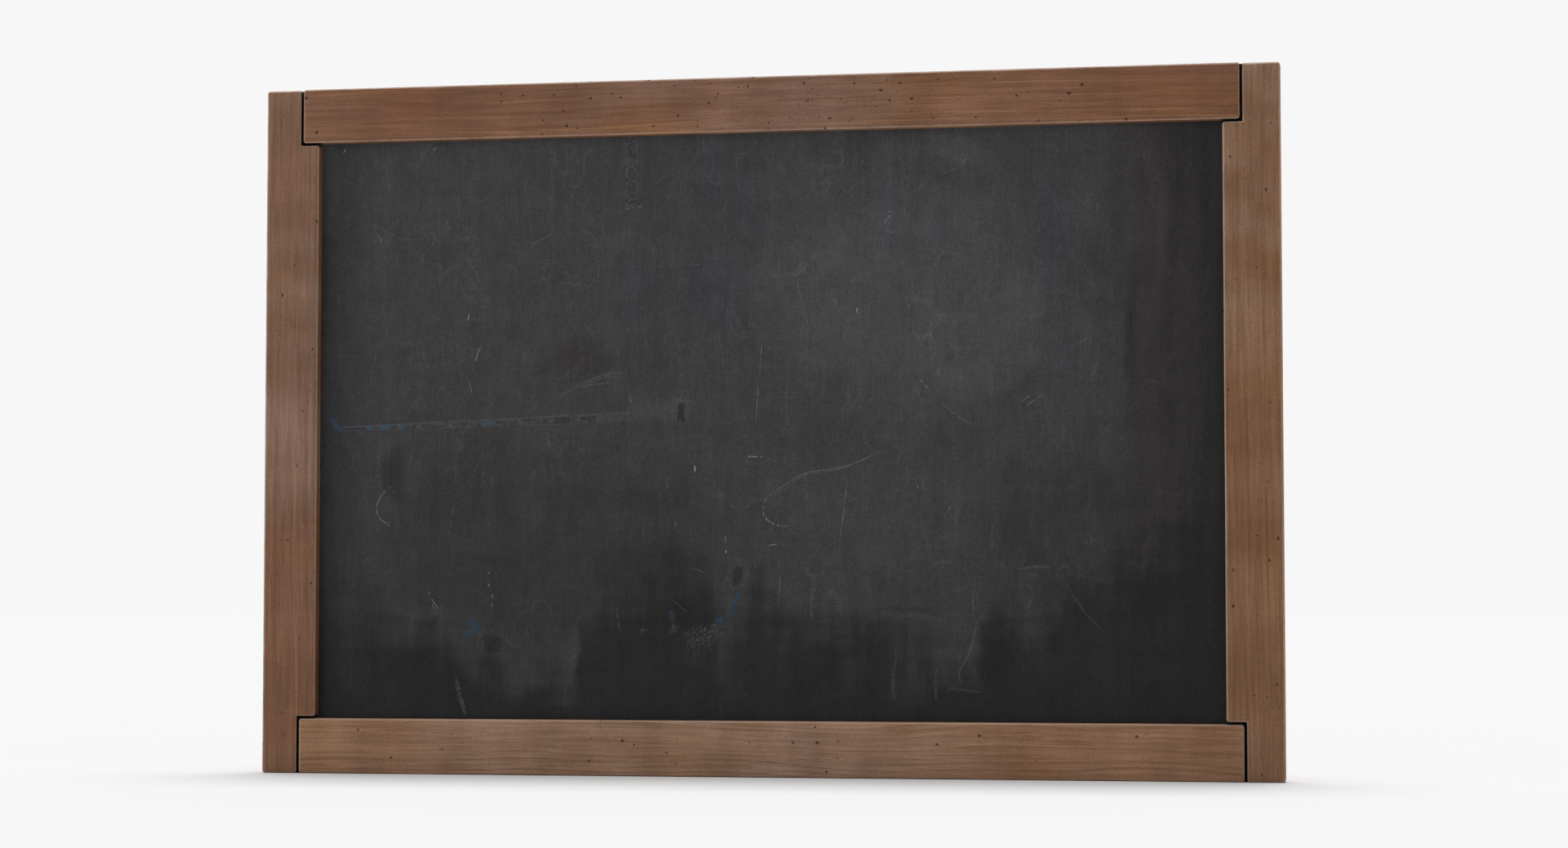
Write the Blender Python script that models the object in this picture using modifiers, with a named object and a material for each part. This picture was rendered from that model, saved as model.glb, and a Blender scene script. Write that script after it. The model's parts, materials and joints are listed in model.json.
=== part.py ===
# Framed chalkboard: a dark writing panel in a wooden frame with stepped half-lap corners.
# Units are metres. X runs to the right as seen from the front, Y to the back, Z up.
# The origin is the middle of the bottom rail's underside; the lip ends at the plane y = 0.

import math

import bmesh
import bpy
from mathutils import Matrix, Vector

# Frame
board_width = 0.900
board_height = 0.610
stile_face = 0.0490  # width of a stile seen from the front
rail_face = 0.0485  # height of a rail seen from the front
lip_width = 0.0169  # how far the lip reaches over the panel
lip_depth = 0.0100  # front face to the back of the lip
rebate_depth = 0.0100  # back of the lip to the frame's back
stile_top_drop = 0.0006  # the stiles end this far below the top rail
shoulder_gap = 0.0018  # open joint between a rail's shoulder and the stile's horn
lip_gap = 0.0018  # open joint between a rail and the end of the stile's lip
front_arris = 0.0025
back_arris = 0.0010
arris_segments = 3

# Boards in the rebate
panel_thickness = 0.0040
board_play = 0.0008  # between a board's edge and the rebate's wall
panel_edge_round = 0.0004

# Gap that touching pieces keep
seat_gap = 0.0003

# Screws
screw_head_radius = 0.0035
pan_head_height = 0.0022
sunk_head_height = 0.0022
shank_radius = 0.00175
screw_point = 0.0030
shank_play = 0.0003
lap_screw_length = 0.0160
lap_screw_inset = 0.0100  # from the outer edges of the corner
plate_screw_length = 0.0130
screw_sides = 16

# Turn buttons
button_pivot_radius = 0.0060
button_nose_radius = 0.0042
button_reach = 0.0150  # pivot to the centre of the nose
button_thickness = 0.0012
button_setback = 0.0090  # pivot to the rebate's wall
rail_button_end = 0.1600  # board's side to the outer turn buttons on a rail
strap_button_gap = 0.0250  # hanger strap's lower end to the turn button below it

# Ring hangers
wire_radius = 0.0013
ring_inner_width = 0.0260
ring_inner_drop = 0.0150  # inside of the bar to the inside of the bow
ring_corner_radius = 0.0020  # middle line of the wire
ring_sides_resolution = 3
strap_width = 0.0160
strap_thickness = 0.0012
strap_length = 0.0500  # bar to the lower end
strap_end_radius = 0.0060
strap_wrap = math.radians(55)  # how far the fold runs on past the outermost point
fold_relief_radius = 0.0020
upper_strap_screw = 0.0250  # bar to the upper screw
lower_strap_screw = 0.0080  # strap's lower end to the lower screw
hanger_bar_drop = 0.1300  # board's top to the bar

# Wall bumpers
bumper_radius = 0.0070
bumper_face_radius = 0.0056
bumper_height = 0.0060
bumper_rise = 0.0560  # centre above the underside

# Worked out from the sizes above
half_width = board_width / 2
front_y = -lip_depth
back_y = rebate_depth
horn_width = stile_face - lip_width  # stile left beside the rebate and the lap
rail_ledge = rail_face - lip_width  # rail left beside the rebate
cut_over = 0.010  # cutters reach this far past the wood

parts = None
cutters = None


def clear_scene():
    for thing in list(bpy.data.objects):
        bpy.data.objects.remove(thing, do_unlink=True)


def new_collection(name):
    collection = bpy.data.collections.new(name)
    bpy.context.scene.collection.children.link(collection)
    return collection


def new_material(name, color, roughness, metallic=0.0):
    material = bpy.data.materials.new(name)
    material.use_nodes = True
    shader = material.node_tree.nodes["Principled BSDF"]
    shader.inputs["Base Color"].default_value = (*color, 1.0)
    shader.inputs["Roughness"].default_value = roughness
    shader.inputs["Metallic"].default_value = metallic
    material.diffuse_color = (*color, 1.0)
    return material


def add_object(name, data, collection, material=None):
    piece = bpy.data.objects.new(name, data)
    collection.objects.link(piece)
    if material is not None:
        piece.data.materials.append(material)
    if collection == cutters:
        piece.hide_render = True
        piece.display_type = 'WIRE'
    return piece


def box_mesh(name, low, high):
    """A box between two corners, with its scale already in the mesh."""
    low, high = Vector(low), Vector(high)
    bm = bmesh.new()
    bmesh.ops.create_cube(bm, size=1.0)
    place = Matrix.Translation((low + high) / 2) @ Matrix.Diagonal((*(high - low), 1.0))
    bmesh.ops.transform(bm, matrix=place, verts=bm.verts)
    mesh = bpy.data.meshes.new(name)
    bm.to_mesh(mesh)
    bm.free()
    return mesh


def add_boolean(piece, cutter, operation='DIFFERENCE'):
    modifier = piece.modifiers.new(cutter.name, 'BOOLEAN')
    modifier.object = cutter
    modifier.operation = operation
    modifier.solver = 'EXACT'
    return modifier


def apply_modifiers(piece):
    """The piece's evaluated mesh takes the place of its modifiers, and their cutters go."""
    used = [modifier.object for modifier in piece.modifiers if modifier.type == 'BOOLEAN']
    graph = bpy.context.evaluated_depsgraph_get()
    mesh = bpy.data.meshes.new_from_object(piece.evaluated_get(graph))
    piece.modifiers.clear()
    piece.data = mesh
    for cutter in used:
        bpy.data.objects.remove(cutter, do_unlink=True)


def turned(name, profile, sides, collection, material=None):
    """A profile of (radius, height) from top to bottom, turned about local Z."""
    mesh = bpy.data.meshes.new(name)
    points = [(radius, 0.0, height) for radius, height in profile]
    edges = [(i, i + 1) for i in range(len(points) - 1)]
    mesh.from_pydata(points, edges, [])
    piece = add_object(name, mesh, collection, material)
    screw = piece.modifiers.new("turn", 'SCREW')
    screw.axis = 'Z'
    screw.steps = sides
    screw.render_steps = sides
    screw.use_merge_vertices = True
    screw.merge_threshold = 0.00001
    screw.use_smooth_shade = True
    return piece


def face_back(piece, x, y, z):
    """Puts a turned piece at a point with its local +Z towards the back."""
    piece.location = (x, y, z)
    piece.rotation_euler = (math.radians(-90), 0, 0)


def arc(centre, radius, start, end, steps):
    """Points of an arc in a plane, angles in degrees."""
    angles = [math.radians(start + (end - start) * i / steps) for i in range(steps + 1)]
    return [(centre[0] + radius * math.cos(a), centre[1] + radius * math.sin(a)) for a in angles]


# Frame members

def cut_away(member, name, low, high):
    cutter = add_object(name, box_mesh(name, low, high), cutters)
    add_boolean(member, cutter)


def ease_member(member, outward_directions):
    """Rounds the front edges and the outline's corners, and lightly the outer back edges."""
    bm = bmesh.new()
    bm.from_mesh(member.data)
    flat = math.radians(0.5)
    bmesh.ops.dissolve_limit(bm, angle_limit=flat, verts=bm.verts, edges=bm.edges)
    weight = bm.edges.layers.float.new("bevel_weight_edge")
    tiny = 1e-5
    for edge in bm.edges:
        if not edge.is_convex or edge.calc_face_angle() < math.radians(30):
            continue
        ys = [vert.co.y for vert in edge.verts]
        along = (edge.verts[1].co - edge.verts[0].co).normalized()
        middle = (edge.verts[0].co + edge.verts[1].co) / 2
        at_front = min(ys) < front_y + tiny
        at_side = abs(middle.x) > half_width - tiny
        at_end = middle.z < tiny or middle.z > board_height - stile_top_drop - tiny
        if at_front or (abs(along.y) > 0.99 and at_side and at_end):
            edge[weight] = 1.0
        elif min(ys) > back_y - tiny:
            sides = [face.normal for face in edge.link_faces if abs(face.normal.y) < 0.5]
            if any(side.dot(Vector(out)) > 0.5 for side in sides for out in outward_directions):
                edge[weight] = back_arris / front_arris
    bm.to_mesh(member.data)
    bm.free()
    bevel = member.modifiers.new("eased edges", 'BEVEL')
    bevel.limit_method = 'WEIGHT'
    bevel.width = front_arris
    bevel.segments = arris_segments
    apply_modifiers(member)


def add_stile(side, material):
    """side is -1 for the left stile and 1 for the right one."""
    name = "left_stile" if side < 0 else "right_stile"
    outer = side * half_width
    inner = side * (half_width - stile_face)
    horn = side * (half_width - horn_width)
    past_inner = side * (half_width - stile_face - cut_over)
    past_outer = side * (half_width + cut_over)
    top = board_height - stile_top_drop

    def between(x_a, x_b, y_low, y_high, z_low, z_high):
        return (min(x_a, x_b), y_low, z_low), (max(x_a, x_b), y_high, z_high)

    stile = add_object(name, box_mesh(name, *between(outer, inner, front_y, back_y, 0, top)), parts, material)
    cut_away(stile, "rebate", *between(horn, past_inner, 0, back_y + cut_over, -cut_over, top + cut_over))
    for end in ("bottom", "top"):
        # The lip stops short of the rail, and the horn is half lapped over the rail's tongue.
        lip_stop = rail_face + lip_gap
        lap_stop = rail_ledge + seat_gap
        if end == "bottom":
            lip_span = (-cut_over, lip_stop)
            lap_span = (-cut_over, lap_stop)
        else:
            lip_span = (board_height - lip_stop, board_height + cut_over)
            lap_span = (board_height - lap_stop, board_height + cut_over)
        cut_away(stile, f"{end} lip stop", *between(horn, past_inner, front_y - cut_over, back_y + cut_over, *lip_span))
        cut_away(stile, f"{end} lap", *between(past_outer, past_inner, 0, back_y + cut_over, *lap_span))
    apply_modifiers(stile)
    ease_member(stile, [(side, 0, 0)])
    return stile


def add_rail(side, material):
    """side is -1 for the bottom rail and 1 for the top one."""
    name = "bottom_rail" if side < 0 else "top_rail"
    if side < 0:
        low, high = 0, rail_face
        rebate_span = (rail_ledge, rail_face + cut_over)
    else:
        low, high = board_height - rail_face, board_height
        rebate_span = (board_height - rail_face - cut_over, board_height - rail_ledge)
    rail = add_object(
        name, box_mesh(name, (-half_width, front_y, low), (half_width, back_y, high)), parts, material)
    past = half_width + cut_over
    cut_away(rail, "rebate", (-past, 0, rebate_span[0]), (past, back_y + cut_over, rebate_span[1]))
    shoulder = half_width - horn_width - shoulder_gap
    for end in (-1, 1):
        # The shoulder leaves a tongue behind the stile's horn.
        x_low, x_high = sorted((end * shoulder, end * past))
        cut_away(rail, "shoulder", (x_low, front_y - cut_over, low - cut_over),
                 (x_high, seat_gap, high + cut_over))
    apply_modifiers(rail)
    ease_member(rail, [(0, 0, side), (-1, 0, 0), (1, 0, 0)])
    return rail


# Boards

def add_board(name, y_low, thickness, edge_round, material):
    half = half_width - horn_width - board_play
    low_z = rail_ledge + board_play
    high_z = board_height - rail_ledge - board_play
    mesh = box_mesh(name, (-half, y_low, low_z), (half, y_low + thickness, high_z))
    board = add_object(name, mesh, parts, material)
    bevel = board.modifiers.new("edge", 'BEVEL')
    bevel.width = edge_round
    bevel.segments = 1
    return board


# Screws

def pan_screw_profile():
    """Head above the plane z = 0, shank below it."""
    rim = pan_head_height * 0.45
    dome = [(screw_head_radius * math.cos(a), rim + (pan_head_height - rim) * math.sin(a))
            for a in (math.radians(90 - 30 * i) for i in range(4))]
    tip = -plate_screw_length
    return dome + [(screw_head_radius, 0), (shank_radius, 0), (shank_radius, tip + screw_point), (0, tip)]


def sunk_screw_profile(play=0.0):
    """Flat head with its top at z = 0; with play, the hole that it goes into."""
    cone = -sunk_head_height
    tip = -lap_screw_length
    above = cut_over if play else 0.0
    return [(0, above), (screw_head_radius + play, above), (screw_head_radius + play, -0.0004),
            (shank_radius + play, cone - play), (shank_radius + play, tip + screw_point - play),
            (0, tip - play)]


def drill(piece, name, x, y_mouth, z, depth, radius):
    """A round hole from the back, from past y_mouth to the given depth below it."""
    profile = [(0, cut_over), (radius, cut_over), (radius, -depth), (0, -depth)]
    cutter = turned(name, profile, screw_sides, cutters)
    face_back(cutter, x, y_mouth, z)
    add_boolean(piece, cutter)


def add_plate_screw(name, x, seat_y, z, wood, material):
    """A pan-head screw whose head stands on the plate at seat_y, with its pilot hole."""
    screw = turned(name, pan_screw_profile(), screw_sides, parts, material)
    face_back(screw, x, seat_y + seat_gap, z)
    depth = plate_screw_length - (seat_y + seat_gap - back_y) + shank_play
    drill(wood, f"{name} pilot", x, back_y, z, depth, shank_radius + shank_play)
    return screw


def add_lap_screws(stiles, rails, material):
    for rail_side, height in ((-1, "bottom"), (1, "top")):
        for stile_side, hand in ((-1, "left"), (1, "right")):
            spots = {
                "outer": (lap_screw_inset, rail_ledge - lap_screw_inset),
                "inner": (horn_width - lap_screw_inset, lap_screw_inset),
            }
            for which, (in_x, in_z) in spots.items():
                name = f"lap_screw_{height}_{hand}_{which}"
                x = stile_side * (half_width - in_x)
                z = in_z if rail_side < 0 else board_height - in_z
                head_y = back_y - seat_gap
                screw = turned(name, sunk_screw_profile(), screw_sides, parts, material)
                face_back(screw, x, head_y, z)
                for wood in (rails[rail_side], stiles[stile_side]):
                    cutter = turned(f"{name} hole", sunk_screw_profile(shank_play), screw_sides, cutters)
                    face_back(cutter, x, head_y, z)
                    add_boolean(wood, cutter)


# Turn buttons

def button_outline():
    """Round pivot end and smaller round nose, joined by their tangents, clockwise."""
    lean = math.degrees(math.asin((button_pivot_radius - button_nose_radius) / button_reach))
    pivot_end = arc((0, 0), button_pivot_radius, 90 - lean, 270 + lean, 10)
    nose = arc((button_reach, 0), button_nose_radius, -90 + lean, 90 - lean, 8)
    return pivot_end + nose


def add_flat_spline(curve, points):
    spline = curve.splines.new('POLY')
    spline.points.add(len(points) - 1)
    for point, (x, y) in zip(spline.points, points):
        point.co = (x, y, 0, 1)
    spline.use_cyclic_u = True


def button_curve():
    curve = bpy.data.curves.new("turn_button", 'CURVE')
    curve.dimensions = '2D'
    curve.fill_mode = 'BOTH'
    curve.extrude = button_thickness / 2
    add_flat_spline(curve, button_outline())
    hole = arc((0, 0), shank_radius + shank_play, 0, 360, screw_sides)
    add_flat_spline(curve, hole[:-1])
    return curve


def add_turn_button(name, x, z, inward_degrees, wood, shape, materials):
    """inward_degrees turns the nose from +X towards +Z, to point over the boards."""
    plate_y = back_y + seat_gap
    button = add_object(f"turn_button_{name}", shape, parts)
    to_back = Matrix.Rotation(math.radians(-90), 4, 'X')
    to_nose = Matrix.Rotation(math.radians(-inward_degrees), 4, 'Y')
    place = Matrix.Translation((x, plate_y + button_thickness / 2, z))
    button.matrix_world = place @ to_nose @ to_back
    add_plate_screw(f"turn_button_screw_{name}", x, plate_y + button_thickness, z, wood, materials["screw"])


def add_turn_buttons(stiles, rails, materials):
    shape = button_curve()
    shape.materials.append(materials["plate"])
    rail_in = rail_ledge - button_setback
    for side, height, nose in ((-1, "bottom", 90), (1, "top", -90)):
        z = rail_in if side < 0 else board_height - rail_in
        for step, hand in ((-1, "left"), (0, "middle"), (1, "right")):
            x = step * (half_width - rail_button_end)
            add_turn_button(f"{height}_{hand}", x, z, nose, rails[side], shape, materials)
    stile_in = horn_width - button_setback
    upper_z = bar_z - strap_length - strap_button_gap
    for side, hand, nose in ((-1, "left", 0), (1, "right", 180)):
        x = side * (half_width - stile_in)
        for height, z in (("lower", board_height - upper_z), ("upper", upper_z)):
            add_turn_button(f"{hand}_{height}", x, z, nose, stiles[side], shape, materials)


# Ring hangers

fold_radius = wire_radius + seat_gap + strap_thickness / 2  # middle line of the strip round the bar
strap_under_y = back_y + seat_gap + strap_thickness / 2
strap_over_y = strap_under_y + strap_thickness + seat_gap
strap_outer_y = strap_over_y + strap_thickness / 2
bar_y = strap_under_y + fold_radius
bar_z = board_height - hanger_bar_drop
ring_drop = ring_inner_drop + 2 * wire_radius  # bar's middle to the bow's middle
ring_half_width = ring_inner_width / 2 + wire_radius
ring_lean = math.asin((strap_outer_y + seat_gap + wire_radius - bar_y) / ring_drop)


def strap_path():
    """Middle line of the strip as (y, z) from the bar: up the back layer, round the bar and down."""
    under = strap_under_y - bar_y
    over = strap_over_y - bar_y
    wrap = math.degrees(strap_wrap)
    fold = arc((0, 0), fold_radius, 180, -wrap, 14)
    leave_y, leave_z = fold[-1]
    # A straight run, then a reverse bend that ends tangent to the outer layer.
    along = Vector((-math.sin(strap_wrap), -math.cos(strap_wrap)))
    bend_start_y = over + fold_relief_radius * (1 - math.cos(strap_wrap))
    run = (leave_y - bend_start_y) / -along.x
    bend_start = Vector((leave_y, leave_z)) + along * run
    centre = bend_start + Vector((-along.y, along.x)) * fold_relief_radius
    relief = arc(centre, fold_relief_radius, 180 - wrap, 180, 4)
    return [(under, -strap_length)] + fold + relief + [(over, -strap_length)]


def add_strap(name, x, wood, materials):
    """A steel strip folded round the ring's bar, both layers held by the same two screws."""
    spare = cut_over  # the strip is made wide and long, and the blank cutter trims it
    rows = []
    bm = bmesh.new()
    path = strap_path()
    path[0] = (path[0][0], path[0][1] - spare)
    path[-1] = (path[-1][0], path[-1][1] - spare)
    for y, z in path:
        rows.append([bm.verts.new((end * (strap_width / 2 + spare), y, z)) for end in (-1, 1)])
    for lower, upper in zip(rows, rows[1:]):
        bm.faces.new((lower[0], lower[1], upper[1], upper[0]))
    mesh = bpy.data.meshes.new(name)
    bm.to_mesh(mesh)
    bm.free()
    strap = add_object(name, mesh, parts, materials["plate"])
    strap.location = (x, bar_y, bar_z)
    wall = strap.modifiers.new("strip thickness", 'SOLIDIFY')
    wall.thickness = strap_thickness
    wall.offset = 0
    wall.use_even_offset = True

    blank_low = (x - strap_width / 2, back_y - cut_over, bar_z - strap_length)
    blank_high = (x + strap_width / 2, bar_y + cut_over, bar_z + cut_over)
    blank = add_object(f"{name} blank", box_mesh(f"{name} blank", blank_low, blank_high), cutters)
    round_blank_end(blank)
    add_boolean(strap, blank, 'INTERSECT')
    screw_drops = {"upper": upper_strap_screw, "lower": strap_length - lower_strap_screw}
    for which, drop in screw_drops.items():
        z = bar_z - drop
        drill(strap, f"{name} {which} hole", x, strap_outer_y, z, 2 * cut_over, shank_radius + shank_play)
        add_plate_screw(f"hanger_screw_{name.rsplit('_', 1)[1]}_{which}", x, strap_outer_y, z, wood,
                        materials["screw"])
    return strap


def round_blank_end(blank):
    """Rounds the two lower corners of the strap's outline."""
    bm = bmesh.new()
    bm.from_mesh(blank.data)
    lowest = min(vert.co.z for vert in bm.verts)
    corners = [edge for edge in bm.edges
               if all(vert.co.z < lowest + 1e-6 for vert in edge.verts)
               and abs(edge.verts[0].co.x - edge.verts[1].co.x) < 1e-6]
    bmesh.ops.bevel(bm, geom=corners, offset=strap_end_radius, segments=5, profile=0.5, affect='EDGES')
    bm.to_mesh(blank.data)
    bm.free()


def ring_path():
    """Middle line of the wire as (x, z): straight bar, tight corners, short sides and a half-round bow."""
    tight = ring_corner_radius
    bow = ring_half_width
    bow_z = -(ring_drop - bow)
    right_corner = arc((bow - tight, -tight), tight, 90, 0, 4)
    half_bow = arc((0, bow_z), bow, 0, -180, 20)
    left_corner = arc((-(bow - tight), -tight), tight, 180, 90, 4)
    return right_corner + half_bow + left_corner


def add_ring(name, x, material):
    """A D ring with its origin on the bar's axis, hanging down and leaning on the strap."""
    curve = bpy.data.curves.new(name, 'CURVE')
    curve.dimensions = '3D'
    curve.bevel_depth = wire_radius
    curve.bevel_resolution = ring_sides_resolution
    spline = curve.splines.new('POLY')
    points = ring_path()
    spline.points.add(len(points) - 1)
    for point, (px, pz) in zip(spline.points, points):
        point.co = (px, 0, pz, 1)
    spline.use_cyclic_u = True
    ring = add_object(name, curve, parts, material)
    ring.location = (x, bar_y, bar_z)
    ring.rotation_euler = (ring_lean, 0, 0)
    return ring


def add_hangers(stiles, materials):
    for side, hand in ((-1, "left"), (1, "right")):
        x = side * (half_width - horn_width / 2)
        add_strap(f"hanger_strap_{hand}", x, stiles[side], materials)
        add_ring(f"hanger_ring_{hand}", x, materials["plate"])


# Wall bumpers

def add_bumpers(material):
    """A slightly tapered rubber foot with a rounded outer edge."""
    edge = 0.0010
    rim = arc((bumper_face_radius - edge, bumper_height - edge), edge, 90, 0, 3)
    profile = [(0, bumper_height)] + rim + [(bumper_radius, 0), (0, 0)]
    for side, hand in ((-1, "left"), (1, "right")):
        bumper = turned(f"wall_bumper_{hand}", profile, 24, parts, material)
        face_back(bumper, side * (half_width - horn_width / 2), back_y + seat_gap, bumper_rise)


def shade_round_pieces():
    for piece in parts.objects:
        if piece.type == 'MESH' and any(modifier.type == 'SCREW' for modifier in piece.modifiers):
            piece.data.shade_smooth()


def main():
    global parts, cutters
    clear_scene()
    parts = new_collection("chalkboard")
    cutters = new_collection("chalkboard_cutters")

    stile_wood = new_material("stile_wood", (0.170, 0.091, 0.056), 0.62)
    rail_wood = new_material("rail_wood", (0.175, 0.095, 0.058), 0.62)
    panel_paint = new_material("panel_paint", (0.039, 0.038, 0.040), 0.55)
    backing = new_material("backing_fibreboard", (0.205, 0.118, 0.064), 0.80)
    metals = {
        "plate": new_material("plated_steel", (0.62, 0.60, 0.56), 0.35, 1.0),
        "screw": new_material("screw_steel", (0.58, 0.53, 0.40), 0.40, 1.0),
    }
    rubber = new_material("bumper_rubber", (0.030, 0.030, 0.032), 0.85)

    stiles = {side: add_stile(side, stile_wood) for side in (-1, 1)}
    rails = {side: add_rail(side, rail_wood) for side in (-1, 1)}

    # The backing board packs out the rebate behind the panel, flush with the frame's back.
    backing_thickness = rebate_depth - panel_thickness - 2 * seat_gap
    add_board("writing_panel", seat_gap, panel_thickness, panel_edge_round, panel_paint)
    add_board("backing_board", seat_gap + panel_thickness + seat_gap, backing_thickness,
              panel_edge_round, backing)

    add_lap_screws(stiles, rails, metals["screw"])
    add_turn_buttons(stiles, rails, metals)
    add_hangers(stiles, metals)
    add_bumpers(rubber)
    shade_round_pieces()


main()
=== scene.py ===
import json
import math
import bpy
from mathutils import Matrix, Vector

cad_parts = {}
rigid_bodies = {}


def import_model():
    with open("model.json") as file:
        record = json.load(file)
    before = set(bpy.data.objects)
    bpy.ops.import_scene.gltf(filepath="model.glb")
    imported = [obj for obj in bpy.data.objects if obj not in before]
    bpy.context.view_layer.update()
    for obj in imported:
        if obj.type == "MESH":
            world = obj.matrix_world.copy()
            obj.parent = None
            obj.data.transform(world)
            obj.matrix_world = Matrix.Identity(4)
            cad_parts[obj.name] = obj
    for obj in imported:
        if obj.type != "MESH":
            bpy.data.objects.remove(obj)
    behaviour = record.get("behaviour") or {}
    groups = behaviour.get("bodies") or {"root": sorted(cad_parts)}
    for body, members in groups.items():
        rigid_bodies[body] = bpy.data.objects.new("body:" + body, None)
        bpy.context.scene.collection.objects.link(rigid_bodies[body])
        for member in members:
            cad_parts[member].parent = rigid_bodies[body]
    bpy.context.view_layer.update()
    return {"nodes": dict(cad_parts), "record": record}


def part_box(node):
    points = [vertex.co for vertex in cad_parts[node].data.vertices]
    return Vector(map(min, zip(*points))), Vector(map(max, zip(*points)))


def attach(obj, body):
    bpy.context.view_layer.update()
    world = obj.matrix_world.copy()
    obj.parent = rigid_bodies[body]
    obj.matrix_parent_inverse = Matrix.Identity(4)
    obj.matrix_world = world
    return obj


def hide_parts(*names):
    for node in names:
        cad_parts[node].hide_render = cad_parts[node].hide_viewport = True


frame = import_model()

from types import SimpleNamespace

import bpy
import numpy as np

nodes = frame["nodes"]
print("frame loaded,", len(nodes), "nodes")


# node trees

class Graph:
    # a node tree with short calls: an input takes a link or a value, and each call gives outputs

    def __init__(self, tree, where=None):
        self.tree = tree
        self.where = where

    def give(self, socket, value):
        if isinstance(value, bpy.types.NodeSocket):
            self.tree.links.new(value, socket)
        else:
            socket.default_value = value

    def add(self, kind, inputs=None, **settings):
        node = self.tree.nodes.new("ShaderNode" + kind)
        for name, value in settings.items():
            setattr(node, name, value)
        for name, value in (inputs or {}).items():
            self.give(node.inputs[name], value)
        return node.outputs

    def maths(self, operation, *values, clamp=False):
        return self.add("Math", dict(enumerate(values)), operation=operation, use_clamp=clamp)[0]

    def times(self, first, second, clamp=False):
        return self.maths("MULTIPLY", first, second, clamp=clamp)

    def scaled(self, value, factor, base, clamp=False):
        # value times factor plus base
        return self.maths("MULTIPLY_ADD", value, factor, base, clamp=clamp)

    def fade(self, value, low, high, toLow=0.0, toHigh=1.0):
        # smooth step of value from low to high, stretched to toLow ... toHigh
        inputs = {"Value": value, "From Min": low, "From Max": high, "To Min": toLow, "To Max": toHigh}
        return self.add("MapRange", inputs, interpolation_type="SMOOTHSTEP")["Result"]

    def blend(self, amount, under, over, kind="MIX"):
        inputs = {0: amount}
        for index, colour in ((6, under), (7, over)):
            inputs[index] = (*colour, 1.0) if isinstance(colour, tuple) else colour
        return self.add("Mix", inputs, data_type="RGBA", blend_type=kind)[2]

    def tinted(self, colour, tint):
        return self.blend(1.0, colour, tint, kind="MULTIPLY")

    def stretched(self, scale, at=None, shift=(0, 0, 0), turn=(0, 0, 0)):
        place = self.where if at is None else at
        return self.add("Mapping", {"Vector": place, "Scale": scale, "Location": shift, "Rotation": turn})[0]

    def noise(self, scale, detail=2.0, roughness=0.5, output="Fac", distortion=0.0, **place):
        scale = scale if isinstance(scale, tuple) else (scale,) * 3
        inputs = {"Vector": self.stretched(scale, **place), "Scale": 1.0, "Detail": detail,
                  "Roughness": roughness, "Distortion": distortion}
        return self.add("TexNoise", inputs)[output]

    def read(self, name, output="Fac"):
        return self.add("Attribute", attribute_name=name, attribute_type="GEOMETRY")[output]

    def bump(self, height, distance, strength=1.0):
        return self.add("Bump", {"Height": height, "Distance": distance, "Strength": strength})["Normal"]

    def shade(self, **values):
        shader = self.tree.nodes["Principled BSDF"]
        for name, value in values.items():
            self.give(shader.inputs[name.replace("_", " ")], value)


def newGroup(name, inputs, outputs):
    # inputs by name with their first values, and outputs that are all plain numbers
    tree = bpy.data.node_groups.new(name, "ShaderNodeTree")
    for label, value in inputs.items():
        kind = "NodeSocketVector" if isinstance(value, tuple) else "NodeSocketFloat"
        tree.interface.new_socket(label, in_out="INPUT", socket_type=kind).default_value = value
    for label in outputs:
        tree.interface.new_socket(label, in_out="OUTPUT", socket_type="NodeSocketFloat")
    return Graph(tree), tree.nodes.new("NodeGroupInput").outputs, tree.nodes.new("NodeGroupOutput").inputs


def newMaterial(name):
    material = bpy.data.materials.new(name)
    material.use_nodes = True
    g = Graph(material.node_tree)
    g.where = g.add("TexCoord")["Object"]
    return material, g


# camera: the photograph's view

cameraPlace = {
    "at": (0.53198, -2.77476, 0.1525),
    "yaw": 10.446,      # degrees to the left
    "pitch": 3.1155,    # degrees up
    "lens": 74.53,
    "sensor": 36.0,
}
cameraData = bpy.data.cameras.new("camera")
cameraData.lens = cameraPlace["lens"]
cameraData.sensor_width = cameraPlace["sensor"]
cameraData.clip_start = 0.05
cameraData.clip_end = 200
camera = bpy.data.objects.new("camera", cameraData)
camera.location = cameraPlace["at"]
camera.rotation_euler = (math.radians(90 + cameraPlace["pitch"]), 0, math.radians(cameraPlace["yaw"]))
bpy.context.scene.collection.objects.link(camera)
bpy.context.scene.camera = camera
print("camera placed")


# mesh helpers

def addPiece(name, corners, faces, material=None, body="board", slot=None, sharpOver=38):
    # a mesh from whole arrays: corners (n, 3) and a list of face arrays, shaded smooth but for sharp edges;
    # where the volume from the faces' corners comes out negative, all faces are turned to point outwards
    corners = np.asarray(corners, float)
    volume = sum(np.einsum("ij,ij->", corners[f[:, 0]], np.cross(corners[f[:, i]], corners[f[:, i + 1]]))
                 for f in faces for i in range(1, f.shape[1] - 1))
    listed = [face for f in faces for face in (f if volume >= 0 else f[:, ::-1]).tolist()]
    mesh = bpy.data.meshes.new(name)
    mesh.from_pydata(corners.tolist(), [], listed)
    mesh.polygons.foreach_set("use_smooth", np.ones(len(mesh.polygons), bool))
    mesh.set_sharp_from_angle(angle=math.radians(sharpOver))
    piece = bpy.data.objects.new(name, mesh)
    bpy.context.scene.collection.objects.link(piece)
    if material:
        mesh.materials.append(material)
    if body:
        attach(piece, body)
    return piece


def smoothStep(value, low, high):
    t = np.clip((value - low) / (high - low), 0, 1)
    return t * t * (3 - 2 * t)


def giveValues(piece, **values):
    # one number per point of the piece, for its material to read by name
    for name, numbers in values.items():
        attribute = piece.data.attributes.new(name, "FLOAT", "POINT")
        attribute.data.foreach_set("value", np.asarray(numbers, np.float32))


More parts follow.
